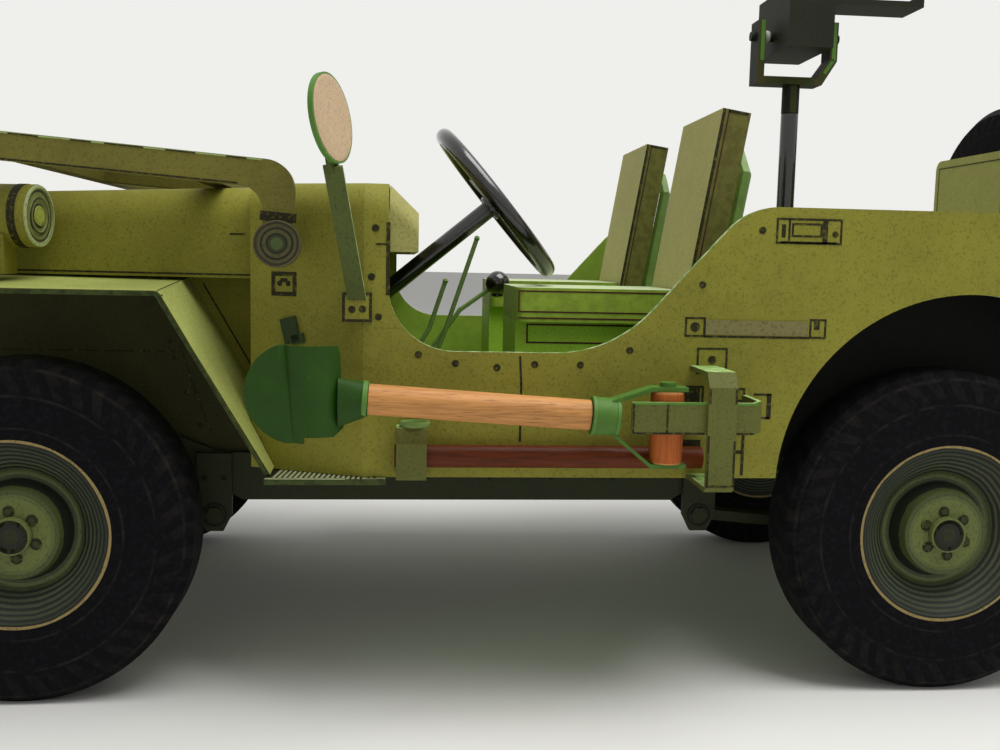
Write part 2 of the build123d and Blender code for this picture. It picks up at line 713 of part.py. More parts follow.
# Grille: slots between the two lamp holes
with BuildPart() as grille:
    extrude(
        arch_section(GRILLE_X, BONNET_FRONT_HALF + 0.6, GRILLE_BOTTOM, BONNET_FRONT_TOP, BONNET_EDGE_R),
        amount=CARD,
    )
    with BuildSketch(Plane.YZ.offset(GRILLE_X)):
        with Locations((0, (SLOT_BOTTOM + SLOT_TOP) / 2)):
            with GridLocations(SLOT_PITCH, 1, SLOT_COUNT, 1):
                slot_half = (SLOT_TOP - SLOT_BOTTOM) / 2
                Polygon(
                    (-SLOT_W / 2, -slot_half + SLOT_W / 2), (0, -slot_half), (SLOT_W / 2, -slot_half + SLOT_W / 2),
                    (SLOT_W / 2, slot_half - SLOT_W / 2), (0, slot_half), (-SLOT_W / 2, slot_half - SLOT_W / 2),
                )
        with Locations((LAMP_Y, LAMP_Z), (-LAMP_Y, LAMP_Z)):
            Circle(LAMP_R + PIN_FIT)
    extrude(amount=CARD, mode=Mode.SUBTRACT)
save(grille, "grille")

with BuildPart() as front_lamps:
    with BuildSketch(Plane.YZ.offset(GRILLE_X - LAMP_DEPTH)):
        with Locations((LAMP_Y, LAMP_Z), (-LAMP_Y, LAMP_Z)):
            Circle(LAMP_R)
    extrude(amount=LAMP_DEPTH + CARD + 0.7)
    chamfer(front_lamps.faces().sort_by(Axis.X)[-2:].edges(), 0.4)
    with BuildSketch(Plane.YZ.offset(GRILLE_X + CARD)):
        with Locations((LAMP_Y, MARKER_Z), (-LAMP_Y, MARKER_Z)):
            Circle(MARKER_R)
    extrude(amount=0.6)
save(front_lamps, "front_lamps")

# Inner walls of the engine bay, standing on the rails; they show dark under the fenders
with BuildPart() as bay_walls:
    with BuildSketch(side_plane(BAY_WALL_Y)):
        Polygon(
            (COWL_FRONT + SEAT_GAP, RAIL_TOP), (RAIL_LEVEL_FRONT + 2, RAIL_TOP),
            (RAIL_LEVEL_FRONT + 7, RAIL_TOP + RAIL_KICK - 1), (GRILLE_X - SEAT_GAP, RAIL_TOP + RAIL_KICK - 1),
            (GRILLE_X - SEAT_GAP, BONNET_BOTTOM), (COWL_FRONT + SEAT_GAP, BONNET_BOTTOM), align=None,
        )
    extrude(amount=CARD)
    mirror(about=Plane.XZ)
save(bay_walls, "bay_walls")


# Front fenders: a top strip from the bay wall outwards that bends down to the step
def fender(side):
    top = Plane(
        origin=(0, side * FENDER_Y, FENDER_Z), x_dir=(1, 0, 0),
        z_dir=(0, -side * (FENDER_Y - BAY_WALL_Y), FENDER_RISE),
    )
    width = hypot(FENDER_Y - BAY_WALL_Y, FENDER_RISE)
    up = 1 if top.y_dir.Z > 0 else -1
    drop = FENDER_Z - FENDER_FOOT_Z
    with BuildPart() as made:
        with BuildSketch(top):
            Polygon(
                (FENDER_FRONT, 0), (FENDER_REAR, 0), (FENDER_FOOT_X, -drop * up),
                (FENDER_FOOT_X + THIN_CARD * 1.2, -drop * up), (FENDER_REAR + THIN_CARD * 0.6, -THIN_CARD * up),
                (FENDER_FRONT, -THIN_CARD * up), align=None,
            )
        extrude(amount=width)
        # The foot narrows to meet the cowl's tapered side
        with BuildSketch(Plane.XY.offset(FENDER_FOOT_Z - 1)):
            Polygon(
                (FENDER_FOOT_X - 1, 0), (COWL_FRONT + SEAT_GAP, 0),
                (COWL_FRONT + SEAT_GAP, side * (COWL_FRONT_HALF + SEAT_GAP)),
                (FENDER_FOOT_X - 1, side * (COWL_FRONT_HALF + COWL_SLOPE * (COWL_FRONT + 1 - FENDER_FOOT_X) + SEAT_GAP)),
                align=None,
            )
            Polygon(
                (COWL_FRONT, 0), (FENDER_FRONT + 1, 0), (FENDER_FRONT + 1, side * BAY_WALL_Y),
                (COWL_FRONT, side * BAY_WALL_Y), align=None,
            )
        extrude(amount=FENDER_Z + 5 - FENDER_FOOT_Z, mode=Mode.SUBTRACT)
    return made


save(fender(1), "left_fender")
save(fender(-1), "right_fender")

# Step plates: the corner between the fender's foot and the tapered cowl side
with BuildPart() as step_plates:
    with BuildSketch(Plane.XY.offset(STEP_Z)):
        Polygon(
            (FENDER_FOOT_X + 0.4, FENDER_Y), (DOOR_FRONT, FENDER_Y), (DOOR_FRONT, SIDE_Y - CARD),
            (SIDE_FRONT, SIDE_Y - CARD), (FENDER_FOOT_X + 0.4, COWL_FRONT_HALF - 0.4), align=None,
        )
    extrude(amount=CARD - SEAT_GAP)
    mirror(about=Plane.XZ)
save(step_plates, "step_plates")

# Drum lamp on the left fender
with BuildPart() as fender_lamp:
    lamp_way = (cos(radians(DRUM_LAMP_TOE)), -sin(radians(DRUM_LAMP_TOE)), 0)
    with BuildSketch(Plane(origin=(DRUM_LAMP_X, DRUM_LAMP_Y, DRUM_LAMP_Z), z_dir=lamp_way)):
        Circle(DRUM_LAMP_R)
    extrude(amount=DRUM_LAMP_L)
    chamfer(fender_lamp.faces().sort_by(Axis.X)[-1].edges(), 0.4)
    lamp_foot = FENDER_Z + (FENDER_Y - DRUM_LAMP_Y) / (FENDER_Y - BAY_WALL_Y) * FENDER_RISE + SEAT_GAP
    with Locations((DRUM_LAMP_X + 3.9, DRUM_LAMP_Y + 0.6, (lamp_foot + 0.4 + DRUM_LAMP_Z - 1.6) / 2)):
        Box(3.4, 3.0, DRUM_LAMP_Z - 1.6 - lamp_foot - 0.4)
save(fender_lamp, "fender_lamp")

# Windscreen frame: side arms bent down to their pivots, rails between, a centre post
along = Vector(cos(radians(SCREEN_TILT)), 0, sin(radians(SCREEN_TILT)))
screen_plane = Plane(
    origin=(PIVOT_X, 0, PIVOT_Z), x_dir=along, z_dir=(0, -1, 0)
)
screen_low = SCREEN_OFFSET - SCREEN_DEPTH / 2
screen_high = SCREEN_OFFSET + SCREEN_DEPTH / 2
arm_low = screen_low - SCREEN_ARM_DROP
with BuildPart() as windscreen_frame:
    with BuildSketch(screen_plane.offset(-SCREEN_OUTER_Y)) as arm:
        Polygon(
            (-1.15, -0.3), (1.25, -0.3), (1.55, arm_low), (SCREEN_REACH, arm_low),
            (SCREEN_REACH, screen_high), (-0.9, screen_high), align=None,
        )
        fillet(arm.vertices().sort_by_distance((-0.9, screen_high, 0))[0], 2.4)
        fillet(arm.vertices().sort_by_distance((1.55, arm_low, 0))[0], 2.0)
        Circle(1.3)
        Circle(PIVOT_PIN_R + PIN_FIT, mode=Mode.SUBTRACT)
    extrude(amount=SCREEN_OUTER_Y - SCREEN_INNER_Y)
    mirror(about=Plane.XZ)
    for start in (SCREEN_START, SCREEN_REACH - SCREEN_RAIL):
        with BuildSketch(screen_plane.offset(-SCREEN_OUTER_Y)):
            Polygon(
                (start, screen_low), (start + SCREEN_RAIL, screen_low), (start + SCREEN_RAIL, screen_high),
                (start, screen_high), align=None,
            )
        extrude(amount=2 * SCREEN_OUTER_Y)
    with BuildSketch(screen_plane.offset(-0.8)):
        Polygon(
            (SCREEN_START, screen_low), (SCREEN_REACH, screen_low), (SCREEN_REACH, screen_high),
            (SCREEN_START, screen_high), align=None,
        )
    extrude(amount=1.6)
save(windscreen_frame, "windscreen_frame")

with BuildPart() as windscreen_panes:
    with BuildSketch(screen_plane.offset(-SCREEN_INNER_Y)):
        Polygon(
            (SCREEN_START + SCREEN_RAIL, SCREEN_OFFSET - PANE_T / 2),
            (SCREEN_REACH - SCREEN_RAIL, SCREEN_OFFSET - PANE_T / 2),
            (SCREEN_REACH - SCREEN_RAIL, SCREEN_OFFSET + PANE_T / 2),
            (SCREEN_START + SCREEN_RAIL, SCREEN_OFFSET + PANE_T / 2), align=None,
        )
    extrude(amount=SCREEN_INNER_Y - 0.8)
    mirror(about=Plane.XZ)
save(windscreen_panes, "windscreen_panes")

with BuildPart() as windscreen_pivots:
    boss_y = COWL_FRONT_HALF + COWL_SLOPE * (COWL_FRONT - PIVOT_X + 1.2) + 0.05
    with BuildSketch(side_plane(SCREEN_INNER_Y - SEAT_GAP)):
        with Locations((PIVOT_X, PIVOT_Z)):
            Circle(1.2)
    extrude(amount=SCREEN_INNER_Y - SEAT_GAP - boss_y)
    with BuildSketch(side_plane(SCREEN_OUTER_Y + SEAT_GAP)):
        with Locations((PIVOT_X, PIVOT_Z)):
            Circle(PIVOT_PIN_R)
    extrude(amount=SCREEN_OUTER_Y - SCREEN_INNER_Y + 2 * SEAT_GAP)
    with BuildSketch(side_plane(SCREEN_OUTER_Y + SEAT_GAP + CARD)):
        with Locations((PIVOT_X, PIVOT_Z)):
            Circle(PIVOT_R)
    extrude(amount=CARD)
    mirror(about=Plane.XZ)
save(windscreen_pivots, "windscreen_pivots")

# Mirror: a disc that leans forward, on a flat arm that leans out from the cowl side
mirror_up = Vector(sin(radians(MIRROR_LEAN)), 0, cos(radians(MIRROR_LEAN)))
mirror_plane = Plane(
    origin=(MIRROR_X, MIRROR_Y, MIRROR_Z), x_dir=mirror_up.cross(mirror_normal), z_dir=mirror_normal
)
foot_y = SIDE_Y + THIN_CARD
foot_top = MIRROR_FOOT_Z + MIRROR_FOOT_W / 2
arm_end = Vector(MIRROR_X, MIRROR_Y, MIRROR_Z) - (MIRROR_R + 0.4) * mirror_up - 1.5 * THIN_CARD * mirror_normal
arm_lean = arm_end.X - MIRROR_FOOT_X
arm_length = hypot(arm_end.Y - foot_y, arm_end.Z - foot_top)
arm_plane = Plane(
    origin=(MIRROR_FOOT_X, foot_y, foot_top), x_dir=(1, 0, 0),
    z_dir=(0, -(arm_end.Z - foot_top), arm_end.Y - foot_y),
)
with BuildPart() as mirror_arm:
    with BuildSketch(side_plane(foot_y)):
        with Locations((MIRROR_FOOT_X, MIRROR_FOOT_Z)):
            Rectangle(MIRROR_FOOT_W, MIRROR_FOOT_W)
    extrude(amount=THIN_CARD)
    with BuildSketch(arm_plane):
        Polygon(
            (-MIRROR_ARM_W / 2, -0.5), (MIRROR_ARM_W / 2, -0.5),
            (arm_lean + MIRROR_ARM_W / 2, arm_length + 0.4), (arm_lean - MIRROR_ARM_W / 2, arm_length + 0.4),
            align=None,
        )
    extrude(amount=-THIN_CARD)
    with BuildSketch(mirror_plane.offset(-2 * THIN_CARD)):
        with Locations((0, -(MIRROR_R + 0.6) / 2)):
            Rectangle(MIRROR_ARM_W, MIRROR_R + 0.6)
    extrude(amount=THIN_CARD)
save(mirror_arm, "mirror_arm")

with BuildPart() as mirror_head:
    with BuildSketch(mirror_plane.offset(-THIN_CARD)):
        Circle(MIRROR_R)
    extrude(amount=THIN_CARD)
save(mirror_head, "mirror_head")


# Front seats: cushions on card boxes, leaning backs and a bent tube behind each
SEATS = [
    # inner y, outer y
    (SEAT_INNER_Y, SEAT_OUTER_Y),
    (-SEAT_OUTER_Y, -SEAT_INNER_Y),
]
cushion_x = (CUSHION_FRONT + CUSHION_REAR) / 2
with BuildPart() as seat_cushions:
    for y0, y1 in SEATS:
        with Locations((cushion_x, (y0 + y1) / 2, (CUSHION_TOP + CUSHION_BOTTOM) / 2)):
            Box(CUSHION_FRONT - CUSHION_REAR, y1 - y0, CUSHION_TOP - CUSHION_BOTTOM)
    fillet(seat_cushions.edges().filter_by(Axis.Z), 0.7)
save(seat_cushions, "seat_cushions")

with BuildPart() as seat_boxes:
    for y0, y1 in SEATS:
        with Locations((cushion_x + SEAT_BOX_INSET / 2, (y0 + y1) / 2, (CUSHION_BOTTOM + FLOOR_Z) / 2)):
            Box(
                CUSHION_FRONT - CUSHION_REAR - SEAT_BOX_INSET, y1 - y0 - SEAT_BOX_INSET,
                CUSHION_BOTTOM - FLOOR_Z,
            )
save(seat_boxes, "seat_boxes")

with BuildPart() as seat_backs:
    for y0, y1 in SEATS:
        with BuildSketch(side_plane(y1)):
            Polygon(
                (BACK_LOW_X, BACK_LOW_Z), (BACK_TOP_X, BACK_TOP_Z), (BACK_TOP_X - BACK_T, BACK_TOP_Z - 0.4),
                (BACK_LOW_X - BACK_T, BACK_LOW_Z - 0.4), align=None,
            )
        extrude(amount=y1 - y0)
save(seat_backs, "seat_backs")

with BuildPart() as seat_tubes:
    tube_x = BACK_LOW_X - BACK_T - SEAT_TUBE_R - 6 * SEAT_GAP
    lean_x = (BACK_TOP_X - BACK_LOW_X) * 0.65
    tube_top = CUSHION_TOP + SEAT_TUBE_RISE
    for y0, y1 in SEATS:
        low_y = y0 + SEAT_TUBE_INSET
        high_y = y1 - SEAT_TUBE_INSET
        with BuildLine():
            Polyline(
                (tube_x, low_y, FLOOR_Z), (tube_x, low_y, CUSHION_TOP),
                (tube_x + lean_x, low_y, tube_top - SEAT_TUBE_CUT),
                (tube_x + lean_x, low_y + SEAT_TUBE_CUT, tube_top),
                (tube_x + lean_x, high_y - SEAT_TUBE_CUT, tube_top),
                (tube_x + lean_x, high_y, tube_top - SEAT_TUBE_CUT),
                (tube_x, high_y, CUSHION_TOP), (tube_x, high_y, FLOOR_Z),
            )
        with BuildSketch(Plane(origin=(tube_x, low_y, FLOOR_Z), z_dir=(0, 0, 1))):
            RegularPolygon(SEAT_TUBE_R, 6)
        sweep(transition=Transition.RIGHT)
save(seat_tubes, "seat_tubes")

# Rear bench between the wheel boxes
with BuildPart() as rear_seat_cushion:
    with Locations(((BENCH_FRONT + BENCH_BACK_X) / 2, 0, BENCH_TOP - 1.6)):
        Box(BENCH_FRONT - BENCH_BACK_X - 0.6, 2 * BENCH_HALF, 3.2)
    fillet(rear_seat_cushion.edges().filter_by(Axis.Z), 0.7)
save(rear_seat_cushion, "rear_seat_cushion")

with BuildPart() as rear_seat_back:
    with BuildSketch(Plane.YZ.offset(BENCH_BACK_X - BENCH_T)) as face:
        with Locations((0, (BENCH_BACK_TOP + REAR_FLOOR_Z + 8) / 2)):
            Rectangle(2 * BENCH_HALF, BENCH_BACK_TOP - REAR_FLOOR_Z - 8)
        fillet(face.vertices().group_by(Axis.Y)[-1], 1.2)
    extrude(amount=BENCH_T)
save(rear_seat_back, "rear_seat_back")

with BuildPart() as rear_seat_box:
    with Locations(((BENCH_FRONT + BENCH_BACK_X) / 2, 0, (REAR_FLOOR_Z + BENCH_TOP - 3.2) / 2)):
        Box(BENCH_FRONT - BENCH_BACK_X - 4.0, 2 * BENCH_HALF - 1.0, BENCH_TOP - 3.2 - REAR_FLOOR_Z)
save(rear_seat_box, "rear_seat_box")

# Steering wheel and column
steer = Vector(
    -cos(radians(STEER_ANGLE)) * cos(radians(STEER_TOE)), cos(radians(STEER_ANGLE)) * sin(radians(STEER_TOE)),
    sin(radians(STEER_ANGLE)),
)
rim_way = Vector(steer.Y, -steer.X, 0).normalized()
steer_plane = Plane(origin=(WHEEL_C_X, STEER_Y, WHEEL_C_Z), z_dir=steer)
column_end_x = COWL_FRONT - CARD - 1.2
column_length = (column_end_x - WHEEL_C_X) / cos(radians(STEER_ANGLE))
with BuildPart() as steering_wheel:
    rim_start = Vector(WHEEL_C_X, STEER_Y, WHEEL_C_Z) + STEER_R * rim_way
    with BuildSketch(Plane(origin=rim_start, x_dir=rim_way, z_dir=steer.cross(rim_way))):
        RegularPolygon(STEER_TUBE_R, 8)
    revolve(axis=Axis((WHEEL_C_X, STEER_Y, WHEEL_C_Z), steer))
    with BuildSketch(steer_plane.offset(-0.9)):
        Circle(STEER_HUB_R)
    extrude(amount=1.3)
    with BuildSketch(steer_plane.offset(-0.35)):
        with PolarLocations(STEER_R / 2, 3):
            Rectangle(STEER_R, 0.8)
    extrude(amount=0.6)
    with BuildSketch(steer_plane):
        Circle(COLUMN_R)
    extrude(amount=-column_length)
save(steering_wheel, "steering_wheel_and_column")

# Levers of thin wire, two with small knobs and one bent with a black ball
LEVERS = [
    # foot x, foot z, bend x, bend z, top x, top z, y, knob radius
    (8.4, LEVER_FOOT_Z, 2.2, 32.8, -1.95, 35.85, 1.6, 1.3),
    (6.4, LEVER_FOOT_Z, 4.0, 30.3, 0.6, 40.7, 4.0, 0.32),
    (9.4, LEVER_FOOT_Z, 5.6, 30.8, 3.9, 36.0, 2.9, 0.32),
]
with BuildPart() as control_levers:
    for x0, z0, x1, z1, x2, z2, y, knob in LEVERS:
        for xa, za, xb, zb in [(x0, z0, x1, z1), (x1, z1, x2, z2)]:
            run = Vector(xb - xa, 0, zb - za)
            start = Vector(xa, y - 2.0, za) - run.normalized() * (WIRE_R if xa == x1 else 0)
            with BuildSketch(Plane(origin=start, z_dir=run)):
                RegularPolygon(WIRE_R, 6)
            extrude(amount=run.length + WIRE_R)
        with BuildSketch(Plane(origin=(x2, y - 2.0, z2), x_dir=(0, 0, 1), z_dir=(0, 1, 0))):
            Polygon(
                (-knob, 0), (-knob * 0.7, knob * 0.7), (0, knob), (knob * 0.7, knob * 0.7), (knob, 0), align=None,
            )
        revolve(axis=Axis((x2, y - 2.0, z2), (0, 0, 1)))
save(control_levers, "control_levers")

# Jerry can at the back, in its tray
with BuildPart() as can:
    with Locations((TUB_REAR - 0.4 - CAN_D / 2, CAN_Y, CAN_Z + CAN_H / 2)):
        Box(CAN_D, CAN_W, CAN_H)
    chamfer(can.edges().filter_by(Axis.X), 1.1)
    for y in (-3.6, 0, 3.6):
        with Locations((TUB_REAR - 0.4 - CAN_D / 2, CAN_Y + y, CAN_Z + CAN_H + 0.4)):
            Box(CAN_D - 2.4, 0.8, 1.2)
    with Locations((TUB_REAR - 0.4 - CAN_D / 2, CAN_Y, CAN_Z + CAN_H + 1.0)):
        Box(1.0, 8.0, 0.6)
save(can, "can")

with BuildPart() as can_tray:
    with Locations((TUB_REAR - 0.1 - (CAN_D + 0.2) / 2, CAN_Y, CAN_Z + 1.2)):
        Box(CAN_D + 0.2, CAN_W + 1.2, 3.4)
    with Locations((TUB_REAR + 0.1 - (CAN_D + 0.5) / 2, CAN_Y, CAN_Z + 2.0)):
        Box(CAN_D + 0.5, CAN_W + 0.1, 4.0, mode=Mode.SUBTRACT)
save(can_tray, "can_tray")

# Pedestal: a post on a round foot, a turning yoke and a tilting cradle
with BuildPart() as pedestal_post:
    with BuildSketch(Plane.XY.offset(REAR_FLOOR_Z)):
        with Locations((POST_X, 0)):
            Circle(3.2)
    extrude(amount=CARD)
    with BuildSketch(Plane.XY.offset(REAR_FLOOR_Z)):
        with Locations((POST_X, 0)):
            Circle(POST_R)
    extrude(amount=POST_TOP - REAR_FLOOR_Z - 3.0)
    with BuildSketch(Plane.XY.offset(POST_TOP - 3.2)):
        with Locations((POST_X, 0)):
            Circle(YOKE_PIN_R)
    extrude(amount=3.0)
save(pedestal_post, "pedestal_post")

with BuildPart() as yoke:
    with BuildSketch(Plane.XY.offset(POST_TOP - 2.9)):
        with Locations((POST_X, 0)):
            Circle(POST_R)
            Circle(YOKE_PIN_R + PIN_FIT, mode=Mode.SUBTRACT)
    extrude(amount=3.2)
    with BuildSketch(side_plane(YOKE_W / 2)):
        Polygon(
            (YOKE_FRONT, YOKE_TOP), (YOKE_FRONT, YOKE_Z), (YOKE_REAR + 1.6, YOKE_Z), (YOKE_REAR, YOKE_Z + 2.6),
            (YOKE_REAR, YOKE_TOP), (YOKE_REAR + THICK_CARD, YOKE_TOP), (YOKE_REAR + THICK_CARD, YOKE_Z + 2.8),
            (YOKE_REAR + 2.2, YOKE_Z + THICK_CARD), (YOKE_FRONT - THICK_CARD, YOKE_Z + THICK_CARD),
            (YOKE_FRONT - THICK_CARD, YOKE_TOP), align=None,
        )
    extrude(amount=YOKE_W)
    with BuildSketch(Plane.YZ.offset(YOKE_REAR - 1)):
        with Locations((0, CRADLE_PIN_Z)):
            Circle(YOKE_PIN_R + PIN_FIT)
    extrude(amount=YOKE_FRONT - YOKE_REAR + 2, mode=Mode.SUBTRACT)
save(yoke, "yoke")

with BuildPart() as cradle:
    cradle_x = (YOKE_FRONT + YOKE_REAR) / 2
    tray_front = cradle_x - CRADLE_W / 2 + THICK_CARD / 2
    with Locations((cradle_x, 0, (CRADLE_BOTTOM + CRADLE_TOP) / 2)):
        Box(CRADLE_W, CRADLE_L, CRADLE_TOP - CRADLE_BOTTOM)
    with Locations((cradle_x, 0, CRADLE_TOP)):
        Box(CRADLE_W - 2 * THICK_CARD, CRADLE_L + 1, 2 * CRADLE_WELL, mode=Mode.SUBTRACT)
    with BuildSketch(Plane.YZ.offset(YOKE_REAR - 0.5)):
        with Locations((0, CRADLE_PIN_Z)):
            Circle(YOKE_PIN_R)
    extrude(amount=YOKE_FRONT - YOKE_REAR + 1.0)
    with BuildSketch(side_plane(TRAY_W / 2)):
        Polygon(
            (tray_front, TRAY_Z), (TRAY_REAR, TRAY_Z), (TRAY_REAR, TRAY_Z + TRAY_LIP),
            (TRAY_REAR + CARD, TRAY_Z + TRAY_LIP), (TRAY_REAR + CARD, TRAY_Z + CARD), (tray_front, TRAY_Z + CARD),
            align=None,
        )
    extrude(amount=TRAY_W)
save(cradle, "cradle")

# Shovel along the left side, blade forward, outside the axe handle
shovel_y = TOOL_SEAT + 2 * AXE_R + 2 * SEAT_GAP + SHOVEL_R
shovel_rear = SHOVEL_FRONT - SHOVEL_L
shovel_rear_z = SHOVEL_Z - SHOVEL_DROP * SHOVEL_L
shaft_way = (-1, 0, -SHOVEL_DROP)
with BuildPart() as shovel_blade:
    # The rear half bulges like a drum; the front half starts at a standing edge and falls away
    blade_in = shovel_y - BLADE_BACK
    drum_end = BLADE_RIDGE + 0.9
    drum_middle = (BLADE_REAR + drum_end) / 2
    with BuildSketch(Plane.XY.offset(BLADE_LOW - 1)):
        with BuildLine():
            ThreePointArc((BLADE_REAR, blade_in), (drum_middle, blade_in + DRUM_OUT), (drum_end, blade_in))
            Line((drum_end, blade_in), (drum_end, blade_in + THIN_CARD))
            ThreePointArc(
                (drum_end, blade_in + THIN_CARD), (drum_middle, blade_in + DRUM_OUT + THIN_CARD),
                (BLADE_REAR, blade_in + THIN_CARD),
            )
            Line((BLADE_REAR, blade_in + THIN_CARD), (BLADE_REAR, blade_in))
        make_face()
    extrude(amount=BLADE_HIGH - BLADE_LOW + 2, dir=(DRUM_LEAN, 0, 1))
    with BuildSketch(Plane.XY.offset(BLADE_LOW - 1)):
        Polygon(
            (BLADE_FOLD, blade_in), (BLADE_RIDGE, blade_in + RIDGE_OUT), (BLADE_TIP + 1, blade_in),
            (BLADE_TIP + 1, blade_in + THIN_CARD), (BLADE_RIDGE, blade_in + RIDGE_OUT + THIN_CARD),
            (BLADE_FOLD - THIN_CARD, blade_in + RIDGE_OUT), (BLADE_FOLD - THIN_CARD, blade_in), align=None,
        )
    extrude(amount=BLADE_HIGH - BLADE_LOW + 2, dir=(SHOVEL_LEAN, 0, 1))
    # Its outline from the side: a square cornered rear, a round front with a flat foot
    with BuildSketch(side_plane(shovel_y + 3)):
        with BuildLine():
            Polyline(
                (BLADE_RIDGE + 0.9, BLADE_LOW), (BLADE_FOLD - 0.4, BLADE_LOW), (BLADE_FOLD - 0.4, BLADE_LOW + 0.5),
                (BLADE_REAR + 0.8, BLADE_LOW + 0.5), (BLADE_REAR, BLADE_LOW + 1.2),
                (BLADE_REAR, BLADE_HIGH - 2.0), (BLADE_REAR + 0.6, BLADE_HIGH), (BLADE_RIDGE + 1.5, BLADE_HIGH),
            )
            ThreePointArc(
                (BLADE_RIDGE + 1.5, BLADE_HIGH), (BLADE_TIP, BLADE_TIP_Z), (BLADE_RIDGE + 0.9, BLADE_LOW),
            )
        make_face()
    extrude(amount=6, mode=Mode.INTERSECT)
    with BuildSketch(Plane(origin=(SHOVEL_FRONT, shovel_y, SHOVEL_Z), x_dir=(0, 1, 0), z_dir=(1, 0, 0))):
        Circle(SHOVEL_R + 0.15)
    with BuildSketch(Plane(origin=(SHOVEL_FRONT + SOCKET_L, shovel_y, SHOVEL_Z - 0.3), x_dir=(0, 1, 0), z_dir=(1, 0, 0))):
        Ellipse(SHOVEL_R * 0.7, SHOVEL_R * 1.6)
    loft()
save(shovel_blade, "shovel_blade")

with BuildPart() as shovel_handle:
    with BuildSketch(Plane(origin=(SHOVEL_FRONT - SEAT_GAP, shovel_y, SHOVEL_Z), z_dir=shaft_way)):
        Circle(SHOVEL_R)
    extrude(amount=SHOVEL_L - SEAT_GAP)
    with BuildSketch(Plane.XY.offset(GRIP_LOW)):
        with Locations((GRIP_X, shovel_y)):
            Circle(GRIP_R)
    extrude(amount=GRIP_HIGH - GRIP_LOW)
save(shovel_handle, "shovel_handle")

# Ferrule with two thin arms that hold the grip, and the head of the pin through it
ferrule_rear = shovel_rear - FERRULE_L
with BuildPart() as shovel_grip_arms:
    with BuildSketch(Plane(origin=(shovel_rear - 0.05, shovel_y, shovel_rear_z), z_dir=shaft_way)):
        Circle(FERRULE_R)
    extrude(amount=FERRULE_L)
    with BuildSketch(side_plane(shovel_y + ARM_W / 2)):
        bend_x = GRIP_X + GRIP_R + PIN_FIT
        for way, grip_end in ((1, GRIP_HIGH), (-1, GRIP_LOW)):
            root = shovel_rear_z + way * (FERRULE_R - 0.3) - 0.1
            end = grip_end + way * (ARM_T / 2 + PIN_FIT)
            Polygon(
                (ferrule_rear + 0.6, root - ARM_T / 2), (bend_x, end - ARM_T / 2),
                (GRIP_X - GRIP_R - 0.2, end - ARM_T / 2), (GRIP_X - GRIP_R - 0.2, end + ARM_T / 2),
                (bend_x, end + ARM_T / 2), (ferrule_rear + 0.6, root + ARM_T / 2), align=None,
            )
    extrude(amount=ARM_W)
    with BuildSketch(Plane.XY.offset(GRIP_HIGH + ARM_T)):
        with Locations((GRIP_X, shovel_y)):
            Circle(GRIP_R / 2)
    extrude(amount=ARM_T + PIN_FIT)
save(shovel_grip_arms, "shovel_grip_arms")

with BuildPart() as axe_handle:
    with BuildSketch(Plane.YZ.offset(AXE_FRONT)):
        with Locations((TOOL_SEAT + AXE_R, AXE_Z)):
            Circle(AXE_R)
    extrude(amount=-AXE_L)
save(axe_handle, "axe_handle")

# A clip over the axe in front, and at the back an upright strap over a level one
strap_y = shovel_y + GRIP_R + SEAT_GAP
UPRIGHTS = [
    # x, bottom z, top z, width, reach in y
    (7.6, 20.2, 24.5, 2.5, TOOL_SEAT + 2 * AXE_R + SEAT_GAP),
    (-17.3, 20.0, 29.8, 2.35, strap_y + THIN_CARD + SEAT_GAP),
]
LEVEL_STRAP = (-10.0, -21.2, 24.7, 27.3)
with BuildPart() as tool_straps:
    for x, low, high, width, reach in UPRIGHTS:
        with BuildSketch(Plane.YZ.offset(x - width / 2)):
            Polygon(
                (SIDE_Y, low), (reach, low), (reach + THIN_CARD, low + THIN_CARD),
                (reach + THIN_CARD, high - 3 * THIN_CARD), (reach - THIN_CARD, high), (SIDE_Y, high),
                (SIDE_Y, high - THIN_CARD), (reach - 1.5 * THIN_CARD, high - THIN_CARD),
                (reach, high - 3 * THIN_CARD), (reach, low + THIN_CARD), (SIDE_Y, low + THIN_CARD), align=None,
            )
        extrude(amount=width)
    strap_front, strap_rear, low, high = LEVEL_STRAP
    with BuildSketch(Plane.XY.offset(low)):
        Polygon(
            (strap_front, strap_y), (strap_rear + 1.2, strap_y), (strap_rear + THIN_CARD, strap_y - 1.2),
            (strap_rear + THIN_CARD, SIDE_Y), (strap_rear, SIDE_Y), (strap_rear, strap_y - 1.2),
            (strap_rear + 1.2, strap_y + THIN_CARD), (strap_front, strap_y + THIN_CARD), align=None,
        )
    extrude(amount=high - low)
save(tool_straps, "tool_straps")

print("row shift", [round(v, 3) for v in ROW_SHIFT])
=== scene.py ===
"""Card scale model of a light army 4x4 car, dressed in its printed card, painted edges, wood and wire.

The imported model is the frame. Lengths in the tables are millimetres off the drawing's zero, which is
on the ground, on the centre line, half way between the axles: x forward, y to the car's left, z up.
"""
import math

import bmesh
import bpy
from bpy.props import FloatProperty, FloatVectorProperty, IntProperty, PointerProperty
from mathutils import Matrix, Vector


